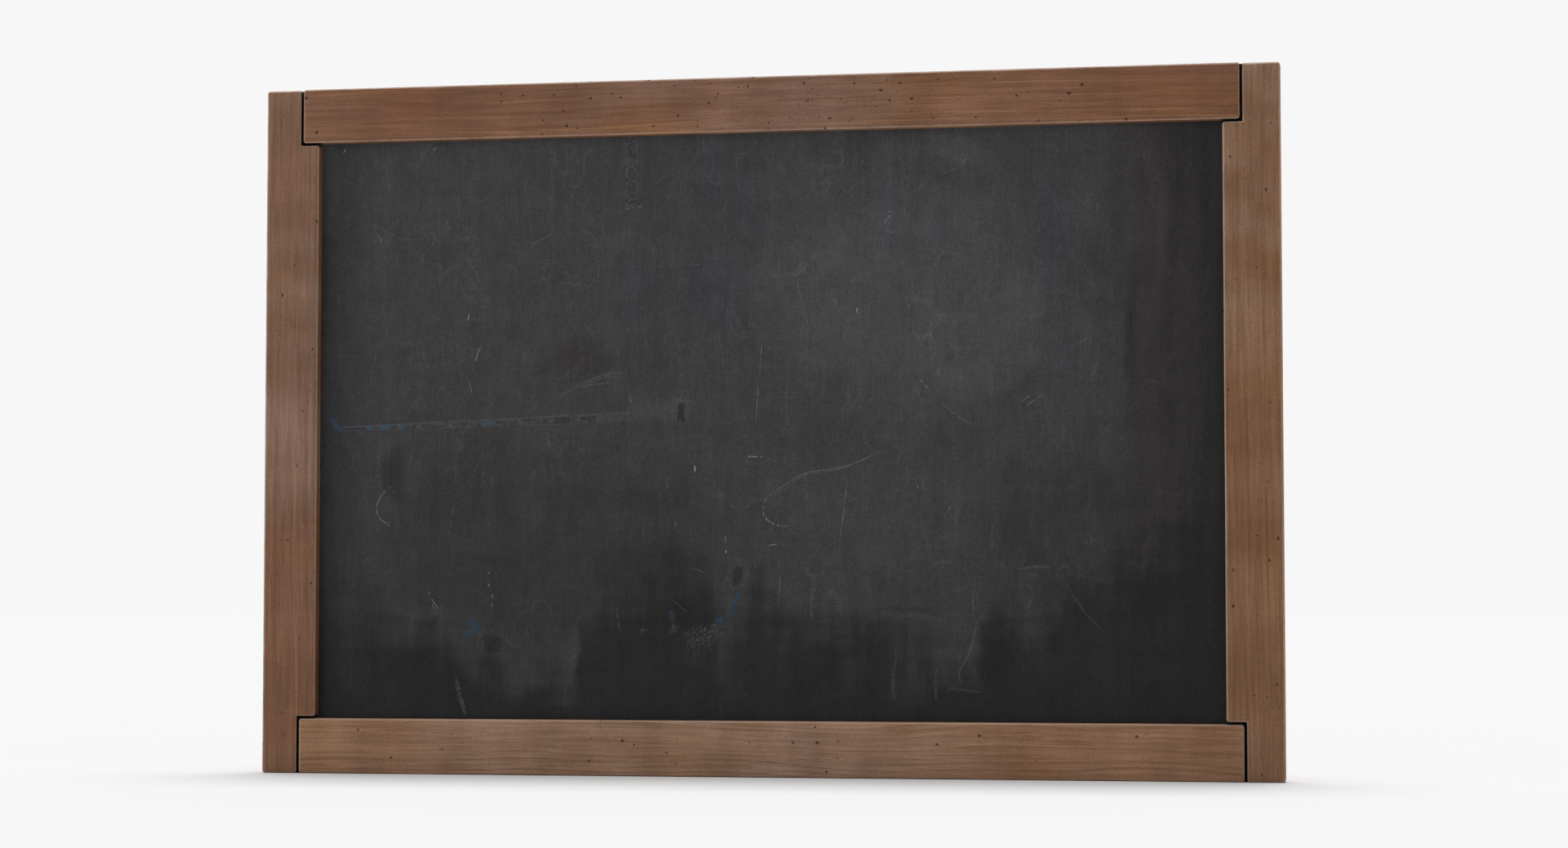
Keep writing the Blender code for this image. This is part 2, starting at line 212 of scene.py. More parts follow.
def latticeNoise(points, cell, seed, size=32):
    # smooth noise from -1 to 1: random numbers at the corners of a lattice with this cell size,
    # blended between corners by the fade 3t^2 - 2t^3
    table = np.random.default_rng(seed).uniform(-1, 1, (size,) * 3)
    scaled = points / np.asarray(cell, float)
    base = np.floor(scaled).astype(int)
    t = scaled - base
    t = t * t * (3 - 2 * t)
    total = np.zeros(len(points))
    for corner in np.ndindex(2, 2, 2):
        weight = np.prod(np.where(corner, t, 1 - t), axis=1)
        total += weight * table[tuple(((base + corner) % size).T)]
    return total


def closedGrid(rows, columns, wrapRows=False):
    # quads of a grid whose columns close on themselves, and its rows too when wrapRows is set
    row, column = np.meshgrid(np.arange(rows if wrapRows else rows - 1), np.arange(columns), indexing="ij")
    here, ahead = row * columns, (row + 1) % rows * columns
    onward = (column + 1) % columns
    return np.stack([here + column, here + onward, ahead + onward, ahead + column], -1).reshape(-1, 4)


def cappedGrid(rows, columns):
    # the same grid closed by a fan of triangles at both ends, whose poles are the last two points
    around = np.arange(columns)
    onward = (around + 1) % columns
    pole = np.full(columns, rows * columns)
    last = (rows - 1) * columns
    return [closedGrid(rows, columns), np.stack([pole, onward, around], -1),
            np.stack([pole + 1, last + around, last + onward], -1)]


def turnedSkin(profile, sides, at, dent=None):
    # a profile of (radius, height) from a pole on top to a pole at the tip, turned about the axis through
    # at; height is towards the back, and dent(u, v) is how far the top rows are pressed in
    profile = np.asarray(profile, float)
    turn = np.arange(sides) * 2 * np.pi / sides
    radius, height = profile[1:-1, :1], profile[1:-1, 1:]
    u, v = radius * np.cos(turn), radius * np.sin(turn)
    h = height + 0 * u
    top = profile[0, 1]
    if dent:
        h = h - np.where(height > -1e-4, dent(u, v), 0)
        top = top - dent(np.zeros(1), np.zeros(1))[0]
    ring = np.stack([at[0] + u, at[1] + h, at[2] + v], -1).reshape(-1, 3)
    poles = [(at[0], at[1] + top, at[2]), (at[0], at[1] + profile[-1, 1], at[2])]
    return np.concatenate([ring, poles]), cappedGrid(len(profile) - 2, sides)


def joinSkins(skins):
    starts = np.cumsum([0] + [len(points) for points, faces in skins])
    joined = [face + start for start, (points, faces) in zip(starts, skins) for face in faces]
    return np.concatenate([points for points, faces in skins]), joined


def arcPoints(centre, radius, start, end, steps):
    angles = np.radians(np.linspace(start, end, steps + 1))
    return np.stack([centre[0] + radius * np.cos(angles), centre[1] + radius * np.sin(angles)], -1)


def placeOf(node):
    # a node's middle across and in height, and where its front and its back are
    low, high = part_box(node)
    return SimpleNamespace(x=(low.x + high.x) / 2, z=(low.z + high.z) / 2, front=low.y, back=high.y)


# studio: pale floor, pale surroundings, soft lights

studioSizes = {
    "pale": 0.930,           # radiance of the background as the camera sees it
    "floorTone": 0.79,
    "floorMottle": 0.003,    # more and less of it by this share
    "floorReach": 40.0,
    "skyLight": 0.22,        # what the surroundings give to matt surfaces
    "skyGloss": 0.62,        # and to reflections
    "sun": 3.05,
    "sunAngle": 34,          # degrees across
    "sunLean": 5,            # degrees behind the zenith
}
# softboxes: name, power, place, height on the board that they aim at, width and height
softboxes = [
    ("key", 16, (-2.3, -2.0, 1.7), 0.32, 1.8, 1.8),
    ("fill", 4, (2.2, -2.6, 0.9), 0.25, 1.6, 1.6),
    # grazes the front from the left and catches the arrises
    ("left rim", 7, (-2.6, -0.42, 0.75), 0.3, 0.9, 1.4),
    ("back left", 14, (-1.6, 2.2, 1.5), 0.3, 1.6, 1.6),
    ("back right", 9.8, (1.8, 2.0, 1.0), 0.3, 1.4, 1.4),
    # almost in the plane of the front, so only arrises that face left take it
    ("arris", 26, (-2.6, -0.13, 0.55), 0.3, 0.25, 1.4),
]


def makeStudio():
    s = studioSizes
    scene = bpy.context.scene
    scene.view_settings.view_transform = "Standard"
    scene.view_settings.look = "None"
    world = bpy.data.worlds.new("pale surroundings")
    scene.world = world
    world.use_nodes = True
    g = Graph(world.node_tree)
    back = world.node_tree.nodes["Background"].inputs
    back["Color"].default_value = (1.0, 1.0, 1.0, 1.0)
    # matt surfaces get the sky light, reflections the sky gloss, and the camera the pale background
    ray = g.add("LightPath")
    strength = g.scaled(ray["Is Glossy Ray"], s["skyGloss"] - s["skyLight"], s["skyLight"])
    g.give(back["Strength"], g.scaled(ray["Is Camera Ray"], s["pale"] - s["skyLight"], strength))

    reach = s["floorReach"]
    corners = [(-reach, -reach, 0), (reach, -reach, 0), (reach, reach, 0), (-reach, reach, 0)]
    floor = addPiece("floor", corners, [np.array([(0, 1, 2, 3)])], body=None)
    material, g = newMaterial("pale floor")
    tones = [(s["floorTone"] * (1 + share),) * 3 for share in (-s["floorMottle"], s["floorMottle"])]
    colour = g.blend(g.noise(9, 3), *tones)
    g.shade(Base_Color=colour, Roughness=0.9, Specular_IOR_Level=0.0)
    floor.data.materials.append(material)


def addLamp(name, kind, power, at, turn, **settings):
    data = bpy.data.lights.new(name, kind)
    for setting, value in {"energy": power, **settings}.items():
        setattr(data, setting, value)
    lamp = bpy.data.objects.new(name, data)
    lamp.location = at
    lamp.rotation_euler = turn
    bpy.context.scene.collection.objects.link(lamp)
    return lamp


def makeLights():
    # the overhead sun makes the floor's soft contact shadow; the softboxes light only the board, and the
    # one for the arrises only its wood
    s = studioSizes
    addLamp("overhead sun", "SUN", s["sun"], (0, 0, 0), (math.radians(-s["sunLean"]), 0, 0),
            angle=math.radians(s["sunAngle"]))
    lit = {"all": bpy.data.collections.new("board"), "wood": bpy.data.collections.new("frame members")}
    for name, power, at, aimZ, width, height in softboxes:
        aim = np.array((0, 0, aimZ)) - np.array(at)
        aim /= np.linalg.norm(aim)
        turn = (math.acos(-aim[2]), 0, math.atan2(-aim[0], aim[1]))
        lamp = addLamp(f"{name} softbox", "AREA", power, at, turn, shape="RECTANGLE", size=width,
                       size_y=height)
        lamp.visible_camera = False
        lamp.light_linking.receiver_collection = lit["wood" if name == "arris" else "all"]
    return lit


makeStudio()
lit = makeLights()
print("studio ready")


# wood

def makeWoodGrain():
    # the board is cut from a log: a ring's number is the distance from the pith, which drifts along the
    # grain, over the ring spacing; each ring ends in a thin light line and starts in a soft dark one,
    # both of a strength of their own
    g, given, out = newGroup(
        "wood grain", {"Vector": (0, 0, 0), "Spacing": 0.004, "Pith Across": 0.06, "Pith Deep": 0.05,
                       "Drift": 0.012}, ("Lines", "Darks", "Bands", "Figure", "Fibre", "Pores"))
    start = given["Vector"]
    wander = g.noise((2.1, 9, 9), at=start, output="Color")
    wander = g.add("VectorMath", {0: wander, 1: (0.5, 0.5, 0.5)}, operation="SUBTRACT")[0]
    wander = g.add("VectorMath", {0: wander, "Scale": given["Drift"]}, operation="SCALE")[0]
    moved = g.add("VectorMath", {0: start, 1: wander}, operation="ADD")[0]
    apart = g.add("SeparateXYZ", {0: moved})
    across = g.maths("SUBTRACT", apart["Y"], given["Pith Across"])
    deep = g.maths("SUBTRACT", apart["Z"], given["Pith Deep"])
    radius = g.maths("SQRT", g.scaled(across, across, g.times(deep, deep)))
    turns = g.maths("DIVIDE", radius, given["Spacing"])
    turns = g.scaled(g.noise((9, 90, 90), 1, at=start), 0.45, turns)
    phase = g.maths("FRACT", turns)
    ring = g.maths("FLOOR", turns)

    def strengthOf(number, power):
        chance = g.add("TexWhiteNoise", {"W": number}, noise_dimensions="1D")["Value"]
        return g.maths("POWER", chance, power)

    line = g.times(g.fade(phase, 0.62, 0.90), g.fade(phase, 0.93, 1.0, 1.0, 0.0))
    line = g.times(line, g.fade(g.noise((5, 70, 70), 1.5, at=start), 0.36, 0.60))
    g.give(out["Lines"], g.times(line, strengthOf(ring, 2.2)))
    line = g.times(g.fade(phase, 0.0, 0.12), g.fade(phase, 0.14, 0.60, 1.0, 0.0))
    g.give(out["Darks"], g.times(line, strengthOf(g.maths("ADD", ring, 0.37), 1.8)))
    g.give(out["Bands"], g.fade(g.noise((1.4, 42, 42), 1.5, at=moved), 0.28, 0.72))
    g.give(out["Figure"], g.fade(g.noise((17, 6, 6), 2.5, 0.55, at=start), 0.28, 0.72))
    fine = g.noise((24, 720, 720), 2, 0.6, at=start)
    coarse = g.noise((10, 270, 270), 2, 0.6, at=start)
    g.give(out["Fibre"], g.fade(g.scaled(coarse, 0.5, g.times(fine, 0.5)), 0.32, 0.68))
    g.give(out["Pores"], g.fade(g.noise((120, 1500, 1500), 1, at=start), 0.60, 0.74))
    return g.tree


def makePits():
    # small holes and dents: each cell of a cell noise holds a ball of its own radius, which shows where
    # the surface cuts it; only cells whose chance is under the density have one
    g, given, out = newGroup("pits", {"Vector": (0, 0, 0), "Density": 0.5}, ("Pit",))
    place = g.stretched((105, 130, 130), given["Vector"])
    cells = g.add("TexVoronoi", {"Vector": place, "Scale": 1.0, "Randomness": 1.0}, feature="F1")
    chance = g.add("SeparateColor", {0: cells["Color"]})
    allowed = g.maths("GREATER_THAN", given["Density"], chance["Red"])
    radius = g.scaled(g.maths("POWER", chance["Green"], 2.0), 0.15, 0.095)
    distance = g.scaled(g.noise(900, 1, at=given["Vector"]), 0.06, cells["Distance"])
    depth = g.maths("DIVIDE", g.maths("SUBTRACT", distance, 0.03), radius)
    g.give(out["Pit"], g.times(g.fade(depth, 0.45, 1.1, 1.0, 0.0), allowed))
    return g.tree


woodLooks = {
    # shift moves the pattern along the log, across the face and into it, in metres
    "top_rail": {
        "shift": (0.31, 0.02, 0.0), "spacing": 0.0062, "pith": (0.055, 0.045), "drift": 0.026,
        "dark": (0.170, 0.071, 0.031), "light": (0.244, 0.112, 0.049), "pale": (0.246, 0.137, 0.090),
        "warm": (0.162, 0.059, 0.021), "line": (0.392, 0.193, 0.077), "lines": 0.58, "darks": 0.26,
        "paleAt": (0.0, 0.17), "paleEnds": (), "pits": 1.0, "pitsAt": (0.02, 0.30)},
    # the bottom rail's colours are lighter: partly its own paler wood, partly painted light that makes up
    # for the softboxes' light falling off towards the floor
    "bottom_rail": {
        "shift": (5.17, 0.33, 0.0), "spacing": 0.0036, "pith": (0.415, 0.03), "drift": 0.046,
        "dark": (0.249, 0.130, 0.067), "light": (0.360, 0.202, 0.112), "pale": (0.369, 0.227, 0.157),
        "warm": (0.319, 0.151, 0.067), "line": (0.469, 0.281, 0.143), "lines": 0.55, "darks": 0.50,
        "paleAt": (-0.07, 0.20), "paleEnds": (), "pits": 0.32, "pitsAt": (-0.08, 0.40)},
    "left_stile": {
        "shift": (2.7, 0.61, 0.3), "spacing": 0.0075, "pith": (0.66, 0.26), "drift": 0.030,
        "dark": (0.161, 0.072, 0.035), "light": (0.227, 0.117, 0.062), "pale": (0.242, 0.139, 0.095),
        "warm": (0.202, 0.079, 0.032), "line": (0.315, 0.162, 0.085), "lines": 0.60, "darks": 0.30,
        "paleAt": (0.36, 0.13), "paleEnds": ((0.61, 0.30),), "pits": 0.30, "pitsAt": (0.20, 0.40)},
    "right_stile": {
        "shift": (7.3, 1.13, 0.5), "spacing": 0.0055, "pith": (1.19, 0.45), "drift": 0.024,
        "dark": (0.170, 0.075, 0.032), "light": (0.245, 0.119, 0.054), "pale": (0.286, 0.166, 0.104),
        "warm": (0.204, 0.085, 0.030), "line": (0.336, 0.182, 0.087), "lines": 0.70, "darks": 0.36,
        "paleAt": (0.53, 0.15), "paleEnds": ((0.61, 0.28), (0.0, 0.27)), "pits": 0.30,
        "pitsAt": (0.20, 0.40)},
}


def makeWood(name, look, woodGrain, pits):
    material, g = newMaterial(f"wood {name.replace('_', ' ')}")
    # the pattern's X runs along the wood, its Y across the face and its Z into it
    xyz = g.add("SeparateXYZ", {0: g.where})
    order = "XZY" if name.endswith("rail") else "ZXY"
    alongGrain = g.add("CombineXYZ", {place: xyz[axis] for place, axis in enumerate(order)})[0]
    alongGrain = g.stretched((1, 1, 1), alongGrain, look["shift"])
    grain = g.add("Group", {"Vector": alongGrain, "Spacing": look["spacing"], "Pith Across": look["pith"][0],
                            "Pith Deep": look["pith"][1], "Drift": look["drift"]}, node_tree=woodGrain)

    def nearTo(spot, inner, outer):
        away = g.maths("ABSOLUTE", g.maths("SUBTRACT", xyz[order[0]], spot))
        return g.fade(away, inner, outer, 1.0, 0.0)

    middle, spread = look["paleAt"]
    near = nearTo(middle, spread * 0.3, spread * 1.6)
    colour = g.blend(g.scaled(grain["Bands"], 0.8, 0.1), look["dark"], look["light"])
    colour = g.blend(g.scaled(near, -0.6, 0.6), colour, look["warm"])
    # paler, pinker wood where the finish has worn, most round one place along the member, and grey clouds
    patches = g.noise((10, 15, 15), 3, 0.55)
    worn = g.times(g.fade(patches, 0.32, 0.64), g.scaled(near, 0.66, 0.28))
    colour = g.blend(worn, colour, look["pale"])
    # paler towards the ends listed in paleEnds
    for spot, amount in look["paleEnds"]:
        colour = g.blend(g.times(nearTo(spot, 0.035, 0.075), amount), colour, look["pale"])
    mottle = g.noise((32, 40, 40), 3.5, 0.6)
    clouds = g.times(g.fade(mottle, 0.50, 0.74), g.scaled(near, 0.40, 0.22))
    colour = g.blend(clouds, colour, g.blend(0.45, look["dark"], look["pale"]))
    darkLine = g.tinted(look["dark"], (0.55, 0.50, 0.50))
    colour = g.blend(g.times(grain["Darks"], look["darks"]), colour, darkLine)
    colour = g.blend(g.times(grain["Lines"], look["lines"]), colour, look["line"])
    figure, fibre = g.fade(grain["Figure"], 0, 1, 0.89, 1.10), g.fade(grain["Fibre"], 0, 1, 0.86, 1.13)
    tone = g.times(g.times(figure, fibre), g.fade(g.noise(620, 2, 0.6), 0.25, 0.75, 0.88, 1.12))
    # darker grain is also redder: green and blue fall faster than red
    green, blue = g.maths("POWER", tone, 1.12), g.maths("POWER", tone, 1.3)
    colour = g.tinted(colour, g.add("CombineColor", {0: tone, 1: green, 2: blue})[0])
    colour = g.blend(g.times(grain["Pores"], 0.30), colour, (0.070, 0.030, 0.016))
    pitsMiddle, pitsSpread = look["pitsAt"]
    density = g.scaled(nearTo(pitsMiddle, pitsSpread * 0.25, pitsSpread), 0.75, 0.25)
    density = g.times(density, look["pits"])
    pit = g.add("Group", {"Vector": alongGrain, "Density": density}, node_tree=pits)["Pit"]
    # rubbed arrises, partly painted highlight: the stain is thinner there, in a ragged band, and the band is
    # painted pale enough to also stand in for the arrises' highlights
    band = g.scaled(g.noise(140, 3, 0.6), 0.0024, 0.0002)
    wearAndHighlight = g.fade(g.maths("DIVIDE", g.read("edge"), band), 0.30, 1.15, 1.0, 0.0)
    colour = g.blend(g.times(wearAndHighlight, 0.62), colour, (0.42, 0.30, 0.235))
    colour = g.blend(g.times(pit, 0.82), colour, (0.032, 0.013, 0.008))
    # painted shade: inside the joints' slots the wood is painted nearly black, standing in for the shade in
    # the narrow gaps
    shut = g.read("shut")
    colour = g.blend(shut, colour, (0.0035, 0.0025, 0.0020))
    rough = g.scaled(grain["Fibre"], -0.06, g.fade(patches, 0.3, 0.7, 0.46, 0.60))
    rough = g.scaled(g.maths("MAXIMUM", pit, shut), 0.35, rough, clamp=True)
    height = g.times(grain["Lines"], 0.10)
    for value, amount in ((grain["Fibre"], 0.10), (grain["Pores"], -0.20), (pit, -1.0), (mottle, 0.15)):
        height = g.scaled(value, amount, height)
    g.shade(Base_Color=colour, Roughness=rough, Specular_IOR_Level=0.3, Normal=g.bump(height, 0.0006))
    return material


# wood frame members

frameSizes = {
    "halfWidth": 0.450,
    "height": 0.610,
    "stileFace": 0.0490,
    "railFace": 0.0485,
    "lip": 0.0169,
    "slot": 0.0018,        # gap at the stepped joints
    "lapGap": 0.0003,      # between a rail's tongue and the stile
    "frontY": -0.0100,
    "backY": 0.0100,
    "arris": 0.0025,
    "backArris": 0.0010,
    "backLines": (1.0, 0.6, 0.27),     # grid lines near the back, in back arrises
    "arrisSteps": 4,       # grid lines over half an arris
    "step": 0.0024,        # grid spacing along the wood
    "acrossStep": 0.0032,
    "nick": 0.00072,       # depth of the wear on the arrises
    "wearCell": 0.009,     # size of the worn places, across
    "wearAlong": 0.016,    # and along the wood
    "wearSpread": 0.06,    # more and less wear by turns, over this distance
    "holePlay": 0.0003,    # round and under every screw
    "holeTop": 0.010,      # the cutter reaches this far over the screw's seat
    "holeSides": (48, 32), # of the laps' holes and of all others
}
tiny = 1e-7                # for comparing places in metres


def gridLines(edges, step, fineAt):
    # every box edge, lines a step apart between them, and lines near an arris spaced by the tangent of
    # equal angles, so that they lie evenly round the arc once it is eased
    angles = np.radians(np.linspace(0, 45, frameSizes["arrisSteps"] + 1))
    offsets = frameSizes["arris"] * (1 - np.tan(angles))
    lines = set(np.round(edges, 7))
    for edge in fineAt:
        for offset in offsets:
            lines.update(np.round([edge - offset, edge + offset], 7))
    lines = np.array(sorted(line for line in lines if min(edges) <= line <= max(edges)))
    lines = lines[np.insert(np.diff(lines) > 10 * tiny, 0, True)]
    filled = [lines[:1]]
    for low, high in zip(lines[:-1], lines[1:]):
        filled.append(np.linspace(low, high, max(int(round((high - low) / step)), 1) + 1)[1:])
    return np.concatenate(filled)


def blockSkin(boxes, axes):
    # the cells of the grid that lie in any box are wood: every cell face between wood and air is kept
    middles = [(line[:-1] + line[1:]) / 2 for line in axes]
    wood = np.zeros([len(m) + 2 for m in middles], bool)
    for box in boxes:
        inside = [(m > low) & (m < high) for m, (low, high) in zip(middles, box["span"])]
        wood[1:-1, 1:-1, 1:-1] |= np.logical_and.outer(np.logical_and.outer(*inside[:2]), inside[2])
    counts = [len(line) for line in axes]
    quads = []
    for axis in range(3):
        u, v = [other for other in range(3) if other != axis]
        for side in (0, 1):
            cells = np.argwhere(wood & ~np.roll(wood, 1 - 2 * side, axis)) - 1
            cells[:, axis] += side
            around = []
            for du, dv in ((0, 0), (1, 0), (1, 1), (0, 1)):
                corner = cells.copy()
                corner[:, u] += du
                corner[:, v] += dv
                around.append(np.ravel_multi_index(corner.T, counts))
            faces = np.stack(around, -1)
            outward = (side == 1) == (axis != 1)      # u x v points along -Y for the middle axis
            quads.append(faces if outward else faces[:, ::-1])
    used, quads = np.unique(np.concatenate(quads), return_inverse=True)
    places = np.unravel_index(used, counts)
    return np.stack([line[place] for line, place in zip(axes, places)], -1), quads.reshape(-1, 4)


def easedPoints(points, boxes):
    # a ball of the arris's radius rolls inside each box: a point within a radius of an eased side is
    # drawn in from the square corner onto the ball, and where two boxes hold it the smaller move counts;
    # gives the points, the ways inward and each point's distance from the nearest arris
    s = frameSizes
    arris = s["arris"]
    best = np.full(len(points), np.inf)
    moved = points.copy()
    inward = np.zeros_like(points)
    edge = np.zeros(len(points))
    far = 9      # metres, past every point
    for box in boxes:
        low, high = np.array(box["span"]).T
        held = np.all((points > low - tiny) & (points < high + tiny), axis=1)
        outline = points[:, [0, 2]]
        lowSides, highSides = np.array(box["eased"], bool).reshape(2, 2).T
        outLow, outHigh = low[[0, 2]], high[[0, 2]]
        core = np.clip(outline, np.where(lowSides, outLow + arris, -far),
                       np.where(highSides, outHigh - arris, far))
        off = outline - core
        reach = np.abs(off).max(1)
        direction = off / np.maximum(np.linalg.norm(off, axis=1), 1e-12)[:, None]
        radius, face, side = (arris, s["frontY"], 1) if box["front"] else (s["backArris"], s["backY"], -1)
        rise = np.maximum(radius - side * (points[:, 1] - face), 0)
        close = np.maximum(reach - (arris - radius), 0)
        scale = np.maximum(close, rise) / np.maximum(np.hypot(close, rise), 1e-12)
        both = (rise > 0) & (close > 0)
        newReach = np.where(both, reach - close + close * scale, reach)
        y = np.where(both, face + side * radius - side * rise * scale, points[:, 1])
        spot = core + direction * newReach[:, None]
        new = np.stack([spot[:, 0], y, spot[:, 1]], -1)
        sideGap = np.minimum(np.where(lowSides, outline - outLow, far),
                             np.where(highSides, outHigh - outline, far))
        gap = np.maximum(sideGap.min(1), points[:, 1] - s["frontY"])
        edge = np.where(held, np.maximum(edge, gap), edge)
        move = np.linalg.norm(new - points, axis=1)
        better = held & (move < best)
        centre = np.stack([core[:, 0], np.full(len(points), s["frontY"] + arris), core[:, 1]], -1)
        best = np.where(better, move, best)
        moved[better] = new[better]
        inward[better] = (centre - new)[better]
    inward /= np.maximum(np.linalg.norm(inward, axis=1), 1e-9)[:, None]
    return moved, inward, edge


def slotShade(points, name, near=0.0006, startsAt=0.0006, fullAt=0.0020, endsAt=0.004):
    # painted shade: 1 on the walls of the joints' slots from 2 mm below the face, 0 outside them
    s = frameSizes
    x, y, z = np.abs(points[:, 0]), points[:, 1], np.minimum(points[:, 2], s["height"] - points[:, 2])
    horn = s["halfWidth"] - s["stileFace"] + s["lip"]
    if name.endswith("rail"):
        beside = (x > horn - s["slot"] - near) & (x < horn + near)
        walls = beside | ((x > horn - s["lip"]) & (x < horn) & (np.abs(z - s["railFace"]) < near))
    else:
        beside = (np.abs(x - horn) < near) & (z < s["railFace"] + s["slot"] + near)
        walls = beside | ((x < horn + near) & (np.abs(z - s["railFace"] - s["slot"]) < near))
    return walls * smoothStep(y - s["frontY"], startsAt, fullAt) * (y < endsAt)


def makeMember(name, boxes, material, seed):
    s = frameSizes
    spans = np.array([box["span"] for box in boxes])
    edges = [np.unique(np.round(spans[:, axis], 7)) for axis in range(3)]
    along = 0 if np.ptp(edges[0]) > np.ptp(edges[2]) else 2
    steps, cell = [s["acrossStep"]] * 3, [s["wearCell"]] * 3
    steps[along], cell[along] = s["step"], s["wearAlong"]
    fineAt = (edges[0], (s["frontY"],), edges[2])
    axes = [gridLines(*lines) for lines in zip(edges, steps, fineAt)]
    backFine = s["backY"] - s["backArris"] * np.array(s["backLines"])
    axes[1] = np.unique(np.round(np.concatenate([axes[1], backFine]), 7))
    points, quads = blockSkin(boxes, axes)
    shut = slotShade(points, name)
    points, inward, edge = easedPoints(points, boxes)
    # wear: the arrises lose a little wood where a noise runs high, less where a broader one runs low
    nick = np.maximum(latticeNoise(points, cell, seed) - 0.15, 0)
    nick = nick * (0.6 + 0.4 * latticeNoise(points, s["wearSpread"], seed + 1))
    nearEdge = np.clip(1 - edge / s["arris"], 0, 1)
    points = points + inward * (nick * nearEdge * s["nick"])[:, None]
    piece = addPiece(name, points, [quads], material, body=None, sharpOver=50)
    giveValues(piece, edge=edge, shut=shut)
    drillHoles(piece, boxes)
    return piece


def drillHoles(piece, boxes):
    # every screw whose axis passes through the member's outline leaves its hole, with a countersink for
    # the flat heads of the laps; all holes of a member are one cutter mesh
    backY, play, high = (frameSizes[key] for key in ("backY", "holePlay", "holeTop"))
    lapSides, otherSides = frameSizes["holeSides"]
    s = screwSizes
    shank, head = s["shank"] + play, s["head"] + play
    outlines = [(*box["span"][0], *box["span"][2]) for box in boxes]
    skins = []
    for screw in screwNames:
        at = placeOf(screw)
        if not any(left < at.x < right and bottom < at.z < top for left, right, bottom, top in outlines):
            continue
        if screw.startswith("lap"):
            tip = at.front - at.back
            profile = [(0, high), (head, high), (head, -s["headEdge"]), (shank, -s["headHeight"] - play),
                       (shank, tip + s["point"] - play), (0, tip - play)]
            skins.append(turnedSkin(profile, lapSides, (at.x, at.back, at.z)))
        else:
            tip = at.front - backY - play
            profile = [(0, high), (shank, high), (shank, tip), (0, tip)]
            skins.append(turnedSkin(profile, otherSides, (at.x, backY, at.z)))
    cutter = addPiece("hole cutter", *joinSkins(skins), body=None)
    holes = piece.modifiers.new("holes", "BOOLEAN")
    holes.object = cutter
    holes.operation = "DIFFERENCE"
    holes.solver = "EXACT"
    graph = bpy.context.evaluated_depsgraph_get()
    mesh = bpy.data.meshes.new_from_object(piece.evaluated_get(graph))
    piece.modifiers.clear()
    old = piece.data
    piece.data = mesh
    mesh.name = old.name
    bpy.data.meshes.remove(old)
    bpy.data.objects.remove(cutter, do_unlink=True)


def woodBox(x, y, z, eased):
    # a block of a member: its spans, and which of its low and high sides across and in height are eased;
    # one that starts at the frame's front has a front arris, any other a back arris
    return {"span": [x, y, z], "eased": eased, "front": y[0] == frameSizes["frontY"]}


def memberBoxes(name):
    # the same boxes as the CAD: a front layer with the lip, and the layer behind it that holds the rebate
    s = frameSizes
    half, frontLayer, backLayer = s["halfWidth"], (s["frontY"], 0), (0, s["backY"])
    horn = half - s["stileFace"] + s["lip"]
    ledge = s["railFace"] - s["lip"]
    every = (True, True, True, True)
    if name.endswith("stile"):
        side = -1 if name.startswith("left") else 1
        lipStop, lapStop = s["railFace"] + s["slot"], ledge + s["lapGap"]
        narrow = sorted((side * half, side * horn))
        wide = sorted((side * half, side * (half - s["stileFace"])))
        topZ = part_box(name)[1].z
        return [woodBox(narrow, frontLayer, (0, topZ), every),
                woodBox(wide, frontLayer, (lipStop, s["height"] - lipStop), every),
                woodBox(narrow, backLayer, (lapStop, s["height"] - lapStop),
                        (side < 0, side > 0, False, False))]
    bottom = name.startswith("bottom")
    shoulder = horn - s["slot"]
    faceZ = (0, s["railFace"]) if bottom else (s["height"] - s["railFace"], s["height"])
    ledgeZ = (0, ledge) if bottom else (s["height"] - ledge, s["height"])
    return [woodBox((-shoulder, shoulder), frontLayer, faceZ, every),
            woodBox((-shoulder, shoulder), backLayer, ledgeZ, (False, False, bottom, not bottom)),
            woodBox((-half, half), (s["lapGap"], s["backY"]), ledgeZ, (True, True, bottom, not bottom))]


screwNames = [part["node"] for part in frame["record"]["subparts"] if part["material_slot"] == "screw_steel"]
screwSizes = {
    "head": 0.0035,
    "headHeight": 0.0022,
    "rim": 0.00099,        # height of the pan head's straight rim
    "shank": 0.00175,
    "point": 0.0030,
    "crossWide": 0.00042,  # half width of the driver recess's arms
    "crossLong": 0.0021,   # reach of the arms
    "crossDeep": 0.0011,
    "crossWalls": (0.75, 1.3), # an arm's walls slope between these shares of its half width
    "crossEnds": 0.55,     # and its ends from this share of its reach
    "crossBowl": 0.25,     # share of the depth that is lost towards the ends
    "crossTurn": 2.4,      # radians from one screw's recess to the next one's
    "recessReach": 0.0023, # rings of points lie close together as far as this
    "recessRings": 11,
    "lapRings": (0.0029, 0.0034),
    "panRings": (0.0026, 0.0029, 0.0031, 0.0033, 0.00343, 0.0035),
    "headEdge": 0.0004,    # straight edge of a flat head
    "flatEase": 0.00012,   # and the easing over it
    "panFoot": ((0.0035, 0.0003), (0.0034, 0.0)),
    "underHead": 0.00001,  # from a pan head's underside to the first row of its shank
    "tip": (0.0003, 0.0002),
    "sides": 72,
}
woodGrain = makeWoodGrain()
pits = makePits()
for memberName, look in woodLooks.items():
    material = makeWood(memberName, look, woodGrain, pits)
    member = makeMember(f"wood_{memberName}", memberBoxes(memberName), material, 11 + len(memberName))
    lit["wood"].objects.link(member)
    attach(member, "board")
    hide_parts(memberName)
print("frame members made")


# the writing panel: paint, chalk dust and what is left on it

